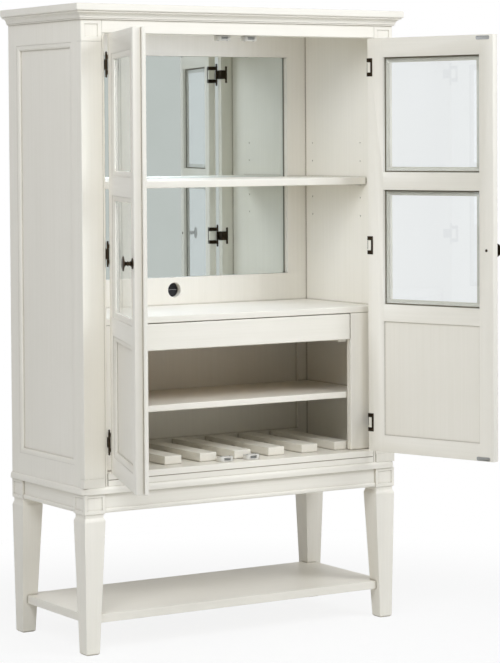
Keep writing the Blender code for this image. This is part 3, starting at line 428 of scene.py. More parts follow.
# %% Finish the solids
UPRIGHT = (
    "leg_front_left", "leg_front_right", "leg_back_left", "leg_back_right", "pilaster_left", "pilaster_right",
    "side_left", "side_right", "back_board", "post_left", "post_right", "left_door_panel", "right_door_panel",
    "left_astragal",
)
ACROSS = (
    "apron_front", "apron_back", "stand_shelf", "cabinet_floor", "frieze_rail", "top_board",
    "counter", "lower_shelf", "upper_shelf", "drawer_front",
)
DEEP = ("apron_left", "apron_right", "drawer_runner_left", "drawer_runner_right", "bottle_rack")
PANES = ("left_lower_glass", "left_upper_glass", "right_lower_glass", "right_upper_glass")

pins = [name for name in nodes if name.startswith("shelf_pin")]
finishes = (
    (enamel_upright, UPRIGHT), (enamel_across, ACROSS), (enamel_deep, DEEP), (glass, PANES),
    (mirror_silver, ("mirror",)), (birch, ("drawer_box",)), (zinc, pins),
)
for finish, names in finishes:
    for name in names:
        for slot in nodes[name].material_slots:
            slot.material = finish
    print(finish.name, "on", len(names), "solids")

# %% [markdown]
# The hardware is modelled as one would at the screen: add a block or a plane, go into edit mode, select by
# place, extrude and cut. These helpers are the few moves that come back all the time.

# %% Modelling moves
FACING = 0.9
PARALLEL = 0.99
MERGE_DISTANCE = 0.00001
ROUND_SEGMENTS = 6


def alone(piece):
    """Makes a piece the only selected one."""
    bpy.ops.object.select_all(action="DESELECT")
    piece.select_set(True)
    bpy.context.view_layer.objects.active = piece


def add_block(name, low, high):
    """A block between two corners, with its place in its mesh."""
    low, high = Vector(low), Vector(high)
    bpy.ops.object.select_all(action="DESELECT")
    bpy.ops.mesh.primitive_cube_add(size=1, location=(low + high) / 2, scale=high - low)
    bpy.ops.object.transform_apply(location=True, rotation=True, scale=True)
    bpy.context.object.name = name
    return bpy.context.object


def add_plane(name, size, place, rotation=(0, 0, 0)):
    """A flat square."""
    bpy.ops.object.select_all(action="DESELECT")
    bpy.ops.mesh.primitive_plane_add(size=size, location=place, rotation=rotation)
    bpy.context.object.name = name
    return bpy.context.object


def pick(piece, kind, test):
    """In edit mode, selects only the corners, edges or faces that pass a test."""
    bpy.ops.mesh.select_mode(type=kind)
    bpy.ops.mesh.select_all(action="DESELECT")
    mesh = bmesh.from_edit_mesh(piece.data)
    for part in {"VERT": mesh.verts, "EDGE": mesh.edges, "FACE": mesh.faces}[kind]:
        part.select_set(test(part))
    bmesh.update_edit_mesh(piece.data)


def faces_towards(piece, direction, within=lambda middle: True):
    """Selects the faces that look one way, where the middle of the face passes a test."""
    way = Vector(direction)
    pick(piece, "FACE", lambda face: face.normal.dot(way) > FACING and within(face.calc_center_median()))


def edges_along(piece, axis, within=lambda middle: True):
    """Selects the edges that run along an axis, where the middle of the edge passes a test."""
    way = Vector(axis)

    def runs_along(edge):
        first, last = edge.verts[0].co, edge.verts[1].co
        return abs((last - first).normalized().dot(way)) > PARALLEL and within((first + last) / 2)

    pick(piece, "EDGE", runs_along)


def pull(step):
    """Extrudes what is selected by a step."""
    bpy.ops.mesh.extrude_region_move(TRANSFORM_OT_translate={"value": step})


def cut_across(place, normal, **settings):
    """Cuts the whole mesh along a plane."""
    bpy.ops.mesh.select_all(action="SELECT")
    bpy.ops.mesh.bisect(plane_co=place, plane_no=normal, **settings)


def close_up():
    """Turns every face outwards and leaves edit mode."""
    bpy.ops.mesh.select_all(action="SELECT")
    bpy.ops.mesh.normals_make_consistent(inside=False)
    bpy.ops.object.mode_set(mode="OBJECT")


print("Points closer than", MERGE_DISTANCE * 1000, "mm are merged")

# %% [markdown]
# A turned piece, for example a knob, is a disc that is pulled out along its axis ring by ring, each ring with
# its own radius. A screw head is a small turned dome with a slot sawn across it.

# %% Turned pieces and screws
SMOOTH_BELOW = radians(35)
EASE_SEGMENTS = 2
SCREW_SIDES = 20
SCREW_DOME = ((0, 1), (0.35, 1), (0.7, 0.8), (0.92, 0.45), (1, 0.15))
SAW_HALF = 0.17
SAW_REACH = 1.2
SAW_FLOOR = 0.4
SAW_ROOF = 1.3


def add_turning(name, centre, axis, profile, sides):
    """A turned piece through pairs of height along the axis and radius."""
    centre, axis = Vector(centre), Vector(axis)
    height, radius = profile[0]
    bpy.ops.object.select_all(action="DESELECT")
    bpy.ops.mesh.primitive_circle_add(vertices=sides, radius=radius, fill_type="NGON",
                                      location=centre + axis * height,
                                      rotation=axis.to_track_quat("Z", "Y").to_euler())
    bpy.ops.object.transform_apply(location=True, rotation=True, scale=True)
    piece = bpy.context.object
    piece.name = name
    bpy.ops.object.mode_set(mode="EDIT")
    bpy.ops.mesh.select_all(action="SELECT")
    for next_height, next_radius in profile[1:]:
        pull(axis * (next_height - height))
        ring_centre = centre + axis * next_height
        bpy.ops.transform.resize(value=[next_radius / radius] * 3, center_override=ring_centre)
        height, radius = next_height, next_radius
    close_up()
    bpy.ops.object.shade_smooth_by_angle(angle=SMOOTH_BELOW)
    return piece


def apply_modifier(piece, kind, **settings):
    """Adds a modifier with its settings and applies it."""
    alone(piece)
    modifier = piece.modifiers.new(kind.lower(), kind)
    for name, value in settings.items():
        setattr(modifier, name, value)
    bpy.ops.object.modifier_apply(modifier=modifier.name)


def ease_edges(piece, width):
    """Rounds every sharp edge a little and smooths the shading over it."""
    apply_modifier(piece, "BEVEL", width=width, segments=EASE_SEGMENTS, limit_method="ANGLE",
                   angle_limit=SMOOTH_BELOW)
    bpy.ops.object.shade_smooth_by_angle(angle=SMOOTH_BELOW)


def add_screw(name, centre, axis, radius, height):
    """A domed screw head with a slot sawn across it."""
    centre, axis = Vector(centre), Vector(axis)
    dome = [(up * height, wide * radius) for up, wide in SCREW_DOME]
    head = add_turning(name, centre, axis, dome, SCREW_SIDES)
    across = axis.cross((1, 0, 0)) * radius * SAW_HALF
    along = Vector((radius * SAW_REACH, 0, 0))
    slot_floor, slot_roof = (centre + axis * height * level for level in (SAW_FLOOR, SAW_ROOF))
    ends = (slot_floor - along - across, slot_roof + along + across)
    low, high = (Vector([limit(pair) for pair in zip(*ends)]) for limit in (min, max))
    saw = add_block("saw", low, high)
    apply_modifier(head, "BOOLEAN", object=saw, operation="DIFFERENCE", solver="EXACT")
    bpy.data.objects.remove(saw)
    return head


print("Screw heads have", SCREW_SIDES, "sides")

# %% [markdown]
# Finished pieces are joined, and copies of them go where they are needed. Everything on a door is modelled on
# the shut right door. A mirrored copy serves the left one.

# %% Finishing, joining and copying
MIRROR_X = Matrix.Scale(-1, 4, (1, 0, 0))


def finished(pieces, material):
    """Gives pieces one finish."""
    for piece in pieces:
        piece.data.materials.clear()
        piece.data.materials.append(material)
    return pieces


def joined(pieces):
    """Joins pieces into the first of them."""
    alone(pieces[0])
    for piece in pieces:
        piece.select_set(True)
    bpy.ops.object.join()
    return pieces[0]


def place_copy(piece, name, matrix):
    """A copy with its own mesh, moved by a matrix. A mirrored copy has its faces turned back outwards."""
    copy = bpy.data.objects.new(name, piece.data.copy())
    bpy.context.scene.collection.objects.link(copy)
    copy.data.transform(matrix)
    if matrix.determinant() < 0:
        copy.data.flip_normals()
    return copy


on_door = {"right": swing["right_door"], "left": swing["left_door"] @ MIRROR_X}
print("The left door mirrors:", on_door["left"].determinant() < 0)

# %% [markdown]
# A door frame is joined from upright stiles and level rails, and the brush follows each of them. The solid
# frame is one body, so a copy of it is merged, cut along the two lines where rails meet stiles, and the faces
# between those lines get the enamel whose streaks run along the rails.

# %% Stiles and rails of the doors
HINGE_STILE = 0.058
MEETING_STILE = 0.0485
DOOR_SMOOTHING = radians(25)


def brushed_door(side):
    """A copy of a door frame with level streaks on its rails."""
    door = f"{side}_door"
    frame_copy = place_copy(nodes[f"{side}_door_frame"], f"{side}_brushed_door", Matrix.Identity(4))
    inner_line, outer_line = door_low.x + MEETING_STILE, door_high.x - HINGE_STILE
    alone(frame_copy)
    bpy.ops.object.mode_set(mode="EDIT")
    bpy.ops.mesh.select_all(action="SELECT")
    bpy.ops.mesh.remove_doubles(threshold=MERGE_DISTANCE)
    way = on_door[side].to_3x3() @ Vector((1, 0, 0))
    for line in (inner_line, outer_line):
        cut_across(on_door[side] @ Vector((line, 0, 0)), way)
    bpy.ops.object.mode_set(mode="OBJECT")
    finished([frame_copy], enamel_stiles)
    frame_copy.data.materials.append(enamel_rails[door])
    shut = on_door[side].inverted()
    for face in frame_copy.data.polygons:
        face.material_index = int(inner_line < (shut @ face.center).x < outer_line)
    bpy.ops.object.shade_smooth_by_angle(angle=DOOR_SMOOTHING)
    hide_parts(f"{side}_door_frame")
    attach(frame_copy, door)
    return frame_copy


for side in on_door:
    print(side, "door frame has", len(brushed_door(side).data.polygons), "faces")

# %% [markdown]
# Behind the mouldings each pane has a narrow olive-grey strip all round the glass, which shows as a dark
# line. Its colour is painted shade for the shadowed rebate that beds the pane. A thin plate the size of the
# pane is inset on both faces, and bridging the two inner faces opens it into a ring.

# %% Glazing strips
GLAZING_STRIP = 0.0040
GLAZING_THICKNESS = 0.0012
GLAZING_GAP = 0.0002
# The strip's colours are painted shade for the shadowed rebate round each pane.
GLAZING_SHADE_LIGHT = "#736D5A"
GLAZING_SHADE_DARK = "#5F5A49"
REBATE_SHADE_GRAIN = 0.002
STRIP_ROUGHNESS = (0.50, 0.65)

rebate_shade = speckled("painted_rebate_shade", REBATE_SHADE_GRAIN, GLAZING_SHADE_DARK, GLAZING_SHADE_LIGHT, NO_METAL,
                    STRIP_ROUGHNESS)[0]
for height in ("lower", "upper"):
    pane_low, pane_high = shut_box(f"right_{height}_glass", "right_door")
    strip_y = pane_high.y + GLAZING_GAP
    strip = add_block("rebate_shade_strip", (pane_low.x, strip_y, pane_low.z),
                      (pane_high.x, strip_y + GLAZING_THICKNESS, pane_high.z))
    bpy.ops.object.mode_set(mode="EDIT")
    pick(strip, "FACE", lambda face: abs(face.normal.y) > FACING)
    bpy.ops.mesh.inset(thickness=GLAZING_STRIP)
    bpy.ops.mesh.bridge_edge_loops()
    close_up()
    # Painted shade round the pane.
    finished([strip], rebate_shade)
    for side, place in on_door.items():
        bedded = place_copy(strip, f"{side}_{height}_rebate_shade_strip", place)
        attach(bedded, f"{side}_door")
    print(height, "glazing strips have", len(strip.data.polygons), "faces each")
    bpy.data.objects.remove(strip)

# %% [markdown]
# The ledge between stand and case is one bull-nosed moulding with corners that are rounded in plan. It is
# made the way a moulding follows an edge: a flat strip stands for its section, two corners of the strip are
# rounded, and the section is extruded along the side, spun round the corner, and so on to the other end.
# Plain boards fill the rest of its width under the case. The nose laps a little over the eased lower edge of
# the case, so no open joint shows there.

# %% Ledge moulding
LEDGE_CORNER = 0.024
LEDGE_STRIP = 0.022
LEDGE_NOSE = 0.012
LEDGE_LIP = 0.0008
LEDGE_WIDTH = 0.060
LEDGE_LAP = 0.0035
LEDGE_SMOOTHING = radians(30)
LEDGE_TURN_STEPS = 10

ledge_low, ledge_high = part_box("ledge_moulding")
ledge_top = ledge_high.z + LEDGE_LAP
section_middle = (ledge_low.x + LEDGE_STRIP / 2, ledge_high.y, (ledge_low.z + ledge_top) / 2)
ledge = add_plane("bullnose_ledge", 1, section_middle, (pi / 2, 0, 0))
ledge.scale = (LEDGE_STRIP, ledge_top - ledge_low.z, 1)
bpy.ops.object.transform_apply(location=True, rotation=True, scale=True)
bpy.ops.object.mode_set(mode="EDIT")
for corner_z, rounding in ((ledge_top, LEDGE_NOSE), (ledge_low.z, LEDGE_LIP)):
    outer_corner = Vector((ledge_low.x, ledge_high.y, corner_z))
    pick(ledge, "VERT", lambda corner: (corner.co - outer_corner).length < LEDGE_LIP / 2)
    bpy.ops.mesh.bevel(offset=rounding, segments=ROUND_SEGMENTS, affect="VERTICES")
bpy.ops.mesh.select_mode(type="FACE")
bpy.ops.mesh.select_all(action="SELECT")
turn_y = ledge_low.y + LEDGE_CORNER
left_turn, right_turn = ledge_low.x + LEDGE_CORNER, ledge_high.x - LEDGE_CORNER
for run, turn_x in (((0, turn_y - ledge_high.y, 0), left_turn), ((right_turn - left_turn, 0, 0), right_turn)):
    pull(run)
    bpy.ops.mesh.spin(steps=LEDGE_TURN_STEPS, angle=-pi / 2, center=(turn_x, turn_y, 0), axis=(0, 0, 1))
pull((0, ledge_high.y - turn_y, 0))
bpy.ops.mesh.select_all(action="SELECT")
bpy.ops.mesh.remove_doubles(threshold=MERGE_DISTANCE)
close_up()
bpy.ops.object.shade_smooth_by_angle(angle=LEDGE_SMOOTHING)
fill_x, fill_y = ledge_high.x - LEDGE_STRIP, ledge_low.y + LEDGE_STRIP
inner_x, inner_y = ledge_high.x - LEDGE_WIDTH, ledge_low.y + LEDGE_WIDTH
fillers = [
    add_block("ledge_filler", (-fill_x, fill_y, ledge_low.z), (fill_x, inner_y, ledge_high.z)),
    add_block("ledge_filler", (-fill_x, inner_y, ledge_low.z), (-inner_x, ledge_high.y, ledge_high.z)),
    add_block("ledge_filler", (inner_x, inner_y, ledge_low.z), (fill_x, ledge_high.y, ledge_high.z)),
]
for filler in fillers:
    ease_edges(filler, LEDGE_LIP / 2)
ledge_paint = cream_enamel("cream_enamel_ledge", 0, glaze_and_shade_share=GLAZE_AND_SHADE_ON_DOORS, joint_shade_share=0.0)
ledge = joined(finished([ledge] + fillers, ledge_paint))
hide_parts("ledge_moulding")
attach(ledge, "case")
print("Ledge spans", [round(value, 4) for value in ledge.dimensions])

# %% [markdown]
# A quirk is a narrow groove. One runs along the front between the cabinet floor and the rail below it. A slim
# brown strip with eased edges lies in it, painted shade that makes the groove read as one thin dark line.

# %% Painted shade in the quirk under the floor
QUIRK_Z = 0.4924
QUIRK_HEIGHT = 0.0022
QUIRK_DEPTH = 0.0006
QUIRK_PROUD = 0.0003
QUIRK_GRAIN = 0.003
# The quirk strip's browns are painted shade along the groove.
QUIRK_SHADE_DARK = "#857A64"
QUIRK_SHADE_LIGHT = "#9C9079"

floor_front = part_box("cabinet_floor")[0].y
quirk_x = hinges["right_door"]["pos_m"][0]
quirk = add_block("shaded_quirk", (-quirk_x, floor_front - QUIRK_PROUD, QUIRK_Z - QUIRK_HEIGHT / 2),
                  (quirk_x, floor_front + QUIRK_DEPTH, QUIRK_Z + QUIRK_HEIGHT / 2))
ease_edges(quirk, QUIRK_PROUD / 2)
quirk_shade = speckled("painted_shade_in_quirk", QUIRK_GRAIN, QUIRK_SHADE_DARK, QUIRK_SHADE_LIGHT, NO_METAL,
                       STRIP_ROUGHNESS)[0]
finished([quirk], quirk_shade)
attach(quirk, "case")
print("Quirk", round(2 * quirk_x, 3), "m long")

# %% [markdown]
# The knob is a turned mushroom: a flared rosette on the door, a slim stem with one bead, and a thin domed
# disc to hold. A domed screw on the inside of the door pulls it tight. The real one is turned on a lathe, so
# a list of heights and radii from the door outwards describes it completely.

# %% Knobs
ROSETTE = [(0, 0.0145), (0.0020, 0.0145), (0.0032, 0.0134), (0.0035, 0.0108), (0.0048, 0.0082),
           (0.0070, 0.0060)]
STEM = [(0.0100, 0.0049), (0.0112, 0.0050), (0.0118, 0.0064), (0.0130, 0.0070), (0.0142, 0.0064),
        (0.0148, 0.0050), (0.0180, 0.0050)]
DISC = [(0.0206, 0.0066), (0.0226, 0.0112), (0.0239, 0.0165), (0.0247, 0.0201), (0.0253, 0.0205),
        (0.0262, 0.0203), (0.0274, 0.0184), (0.0286, 0.0147), (0.0295, 0.0097), (0.0299, 0.0048),
        (0.0300, 0.0012)]
KNOB_SIDES = 40
KNOB_SCREW = 0.0042

knob_low, knob_high = shut_box("right_knob", "right_door")
knob_x = (knob_low.x + knob_high.x) / 2
knob_z = (knob_low.z + knob_high.z) / 2
knob_turning = add_turning("knob_turning", (knob_x, door_low.y, knob_z), (0, -1, 0),
                           ROSETTE + STEM + DISC, KNOB_SIDES)
knob_screw = add_screw("knob_screw", (knob_x, door_high.y, knob_z), (0, 1, 0),
                       KNOB_SCREW, knob_high.y - door_high.y)
knob = joined(finished([knob_turning, knob_screw], bronze))
for side, place in on_door.items():
    turned_knob = place_copy(knob, f"{side}_turned_knob", place)
    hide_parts(f"{side}_knob")
    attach(turned_knob, f"{side}_door")
bpy.data.objects.remove(knob)
print("Knobs stand", round((door_low.y - knob_low.y) * 1000, 1), "mm off the doors")

# %% [markdown]
# Each hinge has two halves. The door's half is a flat C that wraps round the back of the stile, with a slim
# knuckle and a small finial at each end. The case's half is a T with the stout middle knuckle. Both are
# bent from sheet about 1 mm thick: a bar is cut across, arms are pulled out of it, and the arms' ends are
# pulled forward round the edge to the pin.

# %% Hinge leaves
SHEET = 0.0009
LEAF_HALF = 0.027
LEAF_BAR = 0.007
KNUCKLE_SPLIT = 0.0153
TONGUE_HALF = 0.0144
HINGE_SCREW = 0.0025
SCREW_RISE = 0.0011
SCREW_PLACES = (-0.0205, 0, 0.0205)
SLIM_KNUCKLE = [(0.0150, 0.0033), (0.0158, 0.0036), (0.0168, 0.0031), (0.0288, 0.0031), (0.0298, 0.0036),
                (0.0305, 0.0030), (0.0312, 0.0020), (0.0322, 0.0027), (0.0336, 0.0031), (0.0351, 0.0026),
                (0.0361, 0.0014), (0.0365, 0.0004)]
STOUT_KNUCKLE = [(-0.0147, 0.0034), (-0.0140, 0.0041), (-0.0110, 0.0042), (0.0110, 0.0042), (0.0140, 0.0041),
                 (0.0147, 0.0034)]
KNUCKLE_SIDES = 20

pin = Vector(hinges["right_door"]["pos_m"])
pin.z = 0
case_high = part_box("right_middle_hinge_frame_leaf")[1]
leaf_low, leaf_high = shut_box("right_middle_hinge_door_leaf", "right_door")
sheet_front = leaf_high.y - SHEET


def hinge_bar(name, near, far):
    """The upright bar of a hinge leaf, open in edit mode and cut across where arms or a tongue leave it."""
    bar = add_block(name, (near, sheet_front, -LEAF_HALF), (far, leaf_high.y, LEAF_HALF))
    bpy.ops.object.mode_set(mode="EDIT")
    for cut in (-KNUCKLE_SPLIT, -TONGUE_HALF, TONGUE_HALF, KNUCKLE_SPLIT):
        cut_across((0, 0, cut), (0, 0, 1))
    return bar


def wrap_forward(leaf, is_web):
    """Pulls the end of an arm or tongue forward to the pin, then closes the leaf and eases it."""
    faces_towards(leaf, (0, -1, 0), is_web)
    pull((0, pin.y - sheet_front, 0))
    bpy.ops.object.mode_set(mode="OBJECT")
    ease_edges(leaf, SHEET / 4)


def leaf_screws(x):
    """Three screws up the bar of a leaf."""
    return [add_screw("hinge_screw", (x, leaf_high.y, up), (0, 1, 0), HINGE_SCREW, SCREW_RISE)
            for up in SCREW_PLACES]


c_leaf = hinge_bar("hinge_c_leaf", leaf_low.x, leaf_low.x + LEAF_BAR)
door_web = pin.x - SHEET / 2
faces_towards(c_leaf, (1, 0, 0), lambda middle: abs(middle.z) > KNUCKLE_SPLIT)
pull((door_web - SHEET - leaf_low.x - LEAF_BAR, 0, 0))
pull((SHEET, 0, 0))
wrap_forward(c_leaf, lambda middle: middle.x > door_web - SHEET)
slim_knuckles = [add_turning("slim_knuckle", pin, (0, 0, up), SLIM_KNUCKLE, KNUCKLE_SIDES) for up in (-1, 1)]
door_half = joined(finished([c_leaf] + slim_knuckles + leaf_screws(leaf_low.x + LEAF_BAR / 2), bronze))

t_leaf = hinge_bar("hinge_t_leaf", case_high.x - LEAF_BAR, case_high.x)
case_web = pin.x + SHEET / 2
faces_towards(t_leaf, (-1, 0, 0), lambda middle: abs(middle.z) < TONGUE_HALF)
pull((case_web + SHEET - case_high.x + LEAF_BAR, 0, 0))
pull((-SHEET, 0, 0))
wrap_forward(t_leaf, lambda middle: middle.x < case_web + SHEET)
stout_knuckle = add_turning("stout_knuckle", pin, (0, 0, 1), STOUT_KNUCKLE, KNUCKLE_SIDES)
case_half = joined(finished([t_leaf, stout_knuckle] + leaf_screws(case_high.x - LEAF_BAR / 2), bronze))
print("Hinge halves have", len(door_half.data.polygons), "and", len(case_half.data.polygons), "faces")

# %% [markdown]
# Three hinges hang each door. The door's half of a hinge swings with the door, and the other half stays on
# the case. Each pair goes to the height of the two solids that it takes over from.

# %% Six hinges
HEIGHTS = ("bottom", "middle", "top")

on_case = {"right": Matrix.Identity(4), "left": MIRROR_X}
for side in on_door:
    for height in HEIGHTS:
        low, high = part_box(f"{side}_{height}_hinge_frame_leaf")
        lift = Matrix.Translation((0, 0, (low.z + high.z) / 2))
        swinging = place_copy(door_half, f"{side}_{height}_hinge_c_leaf", on_door[side] @ lift)
        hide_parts(f"{side}_{height}_hinge_door_leaf")
        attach(swinging, f"{side}_door")
        standing = place_copy(case_half, f"{side}_{height}_hinge_t_leaf", on_case[side] @ lift)
        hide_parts(f"{side}_{height}_hinge_frame_leaf")
        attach(standing, "case")
for half in (door_half, case_half):
    bpy.data.objects.remove(half)
print("Hinges: pin at X", round(pin.x, 4), "and Y", round(pin.y, 4))

# %% [markdown]
# Magnetic catches hold the doors shut: a white plastic housing with a magnet between two steel pole plates.
# The housing is a block with rounded front corners and a slot sunk into its front. Two screws hold it.

# %% Catches
CATCH_FRONT_CORNER = 0.008
CATCH_BACK_CORNER = 0.003
CATCH_EASE = 0.0006
SLOT_MARGIN = 0.0030
SLOT_DEPTH = 0.0050
POLE_THICK = 0.0012
POLE_SPREAD = 0.0017
POLE_INSET = 0.0004
CATCH_SCREW = 0.0028
CATCH_SCREW_X = 0.015

catch_low, catch_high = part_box("top_catch_right")
catch_middle = (catch_low + catch_high) / 2
housing = add_block("catch_housing", catch_low, catch_high)
bpy.ops.object.mode_set(mode="EDIT")
edges_along(housing, (0, 0, 1), lambda middle: middle.y < catch_middle.y)
bpy.ops.mesh.bevel(offset=CATCH_FRONT_CORNER, segments=ROUND_SEGMENTS)
edges_along(housing, (0, 0, 1), lambda middle: middle.y > catch_high.y - CATCH_BACK_CORNER)
bpy.ops.mesh.bevel(offset=CATCH_BACK_CORNER, segments=ROUND_SEGMENTS // 2)
faces_towards(housing, (0, -1, 0), lambda middle: abs(middle.x - catch_middle.x) < CATCH_BACK_CORNER)
bpy.ops.mesh.inset(thickness=SLOT_MARGIN)
pull((0, SLOT_DEPTH, 0))
bpy.ops.object.mode_set(mode="OBJECT")
ease_edges(housing, CATCH_EASE)

pole_half = (catch_high.x - catch_low.x) / 2 - CATCH_FRONT_CORNER - SLOT_MARGIN - POLE_THICK
poles = []
for up in (-POLE_SPREAD, POLE_SPREAD):
    low = (catch_middle.x - pole_half, catch_low.y + POLE_INSET, catch_middle.z + up - POLE_THICK / 2)
    high = (catch_middle.x + pole_half, catch_low.y + SLOT_DEPTH, catch_middle.z + up + POLE_THICK / 2)
    poles.append(add_block("pole_plate", low, high))
    ease_edges(poles[-1], POLE_THICK / 5)
catch_screws = []
for x in (-CATCH_SCREW_X, CATCH_SCREW_X):
    screw_place = (catch_middle.x + x, catch_middle.y, catch_low.z)
    catch_screws.append(add_screw("catch_screw", screw_place, (0, 0, -1), CATCH_SCREW, SCREW_RISE))
finished([housing], plastic)
catch = joined([housing] + finished(poles + catch_screws, zinc))

bottom_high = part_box("bottom_catch_right")[1]
mid_height = Matrix.Translation((0, 0, (catch_low.z + bottom_high.z) / 2))
upside_down = mid_height @ Matrix.Scale(-1, 4, (0, 0, 1)) @ mid_height.inverted()
for side in on_case:
    for end, place in (("top", Matrix.Identity(4)), ("bottom", upside_down)):
        magnet = place_copy(catch, f"{end}_magnet_catch_{side}", on_case[side] @ place)
        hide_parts(f"{end}_catch_{side}")
        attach(magnet, "case")
bpy.data.objects.remove(catch)
print("Four magnet catches")

# %% [markdown]
# On each door a small zinc-plated strike plate meets each magnet. It has rounded ends, a shallow dished face
# and one screw. The strip behind the left door's meeting edge pushes its plates a little to the side.

# %% Strike plates
STRIKE_SIZE = Vector((0.046, 0.0012, 0.011))
STRIKE_START = 0.0145
STRIKE_CORNER = 0.004
STRIKE_SEGMENTS = 5
STRIKE_RIM = 0.0016
STRIKE_TOP_GAP = 0.0035
STRIKE_FOOT_GAP = 0.0012
ASTRAGAL_SHIFT = 0.0095

strike_low = Vector((STRIKE_START, door_high.y, door_high.z - STRIKE_TOP_GAP - STRIKE_SIZE.z))
strike_high = strike_low + STRIKE_SIZE
dish = STRIKE_SIZE.y / 3
plate = add_block("strike_plate", strike_low, strike_high)
bpy.ops.object.mode_set(mode="EDIT")
edges_along(plate, (0, 1, 0))
bpy.ops.mesh.bevel(offset=STRIKE_CORNER, segments=STRIKE_SEGMENTS)
faces_towards(plate, (0, 1, 0))
bpy.ops.mesh.inset(thickness=STRIKE_RIM)
pull((0, -dish, 0))
bpy.ops.object.mode_set(mode="OBJECT")
ease_edges(plate, STRIKE_SIZE.y / 5)
strike_middle = (strike_low + strike_high) / 2
screw_place = (strike_middle.x + STRIKE_CORNER, strike_high.y - dish, strike_middle.z)
strike_screw = add_screw("strike_screw", screw_place, (0, 1, 0), CATCH_SCREW, dish)
strike = joined(finished([plate, strike_screw], zinc))
drop = Matrix.Translation((0, 0, door_low.z + STRIKE_FOOT_GAP - strike_low.z))
for side, place in on_door.items():
    shift = Matrix.Translation((ASTRAGAL_SHIFT if side == "left" else 0, 0, 0))
    for end, height in (("top", Matrix.Identity(4)), ("bottom", drop)):
        plate_copy = place_copy(strike, f"{side}_{end}_strike_plate", place @ shift @ height)
        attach(plate_copy, f"{side}_door")
bpy.data.objects.remove(strike)
print("Four strike plates")

# %% [markdown]
# A black disc with a slit closes the back of the round cord hole under the mirror. It is painted shade, so
# the hole looks black from the front as if a dark room lay behind it. The flap is half a disc: a thin round
# plate that is cut in two with bisect, and copied turned by half a turn.

# %% Painted shade in the cord hole
# The disc's blacks are painted shade for the dark behind the hole.
HOLE_SHADE_BLACK = "#17161A"
HOLE_SHADE_GREY = "#26252A"
HOLE_SHADE_GRIT = 0.002
HOLE_SHADE_ROUGHNESS = (0.6, 0.8)
HOLE_RADIUS = 0.0225
HOLE_X = 0.014
HOLE_HEIGHT = 0.990
FLAP_FIT = 0.0003
FLAP_THICK = 0.0020
FLAP_SLIT = 0.0004
FLAP_FROM_BACK = 0.006
FLAP_SIDES = 40

hole_shade = speckled("painted_hole_shade", HOLE_SHADE_GRIT, HOLE_SHADE_BLACK, HOLE_SHADE_GREY, NO_METAL, HOLE_SHADE_ROUGHNESS)[0]
back_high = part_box("back_board")[1]
flap_radius = HOLE_RADIUS - FLAP_FIT
flap_centre = Vector((HOLE_X, back_high.y - FLAP_FROM_BACK, HOLE_HEIGHT))
flap_edge = [(0, flap_radius - FLAP_FIT), (FLAP_FIT, flap_radius), (FLAP_THICK - FLAP_FIT, flap_radius),
             (FLAP_THICK, flap_radius - FLAP_FIT)]
flap = add_turning("upper_hole_shade_flap", flap_centre, (0, 1, 0), flap_edge, FLAP_SIDES)
bpy.ops.object.mode_set(mode="EDIT")
cut_across(flap_centre + Vector((0, 0, FLAP_SLIT / 2)), (0, 0, 1), use_fill=True, clear_inner=True)
bpy.ops.object.mode_set(mode="OBJECT")
finished([flap], hole_shade)
half_turn = Matrix.Translation(flap_centre) @ Matrix.Rotation(pi, 4, "Y") @ Matrix.Translation(-flap_centre)
for half in (flap, place_copy(flap, "lower_hole_shade_flap", half_turn)):
    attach(half, "case")
print("Dust flap", round(flap_radius * 2000, 1), "mm across")

# %% [markdown]
# The floor is a plain pale sheet. Close to the cabinet it shows its real shading, so the feet keep their
# soft shadow. Further out it turns to plain white for whatever sees it directly, in glass or in a mirror,
# so that it runs into the white background with no horizon.

# %% Floor
WHITE = (1, 1, 1, 1)
FLOOR_SIZE = 16.0
FLOOR_WHITE = "#F6F6F4"
FLOOR_ROUGHNESS = 0.7
SHADOW_REACH = 0.85
WHITE_REACH = 1.9
SHADOW_FADE = 0.86


def seen_directly(tree):
    """1 for a ray from the camera, or by way of a mirror or glass, and 0 for light that only brightens."""
    ray = add_node(tree, "LightPath").outputs
    seen = ray["Is Camera Ray"]
    for way in ("Is Glossy Ray", "Is Transmission Ray"):
        seen = add_node(tree, "Math", (seen, ray[way]), operation="MAXIMUM").outputs[0]
    return seen


def pale_floor():
    material, tree, shader = new_material("pale_floor")
    shader.inputs["Base Color"].default_value = colour(FLOOR_WHITE)
    shader.inputs["Roughness"].default_value = FLOOR_ROUGHNESS
    place = add_node(tree, "TexCoord").outputs["Object"]
    distance = add_node(tree, "VectorMath", (place,), operation="LENGTH").outputs[1]
    far = add_node(tree, "MapRange", (distance, SHADOW_REACH, WHITE_REACH, SHADOW_FADE, 1.0),
                   interpolation_type="SMOOTHSTEP").outputs[0]
    share = add_node(tree, "Math", (far, seen_directly(tree)), operation="MULTIPLY").outputs[0]
    white = add_node(tree, "Emission", {"Color": WHITE, "Strength": 1.0}).outputs[0]
    show(tree, add_node(tree, "MixShader", (share, shader.outputs[0], white)).outputs[0])
    return material


floor = add_plane("floor", FLOOR_SIZE, (0, 0, 0))
floor.data.materials.append(pale_floor())
print("Floor", FLOOR_SIZE, "m wide")

# %% [markdown]
# Behind the camera stands a light grey studio wall that only reflections see: the mirror would be as white as
# the background without it. The background is white for whatever sees it directly, and dimmer as a source of
# light, so that the lamps can model the shapes.

# %% Wall and white background
WALL_PLACE = (0, -8.0, 8.0)
WALL_GREY = "#D6D7D3"
WALL_HIDDEN_FROM = ("camera", "diffuse", "transmission", "volume_scatter", "shadow")
AMBIENT = 0.19


def grey_wall():
    """A flat grey that gives its own light."""
    material, _, shader = new_material("grey_studio_wall")
    shader.inputs["Base Color"].default_value = (0, 0, 0, 1)
    shader.inputs["Emission Color"].default_value = colour(WALL_GREY)
    shader.inputs["Emission Strength"].default_value = 1.0
    return material


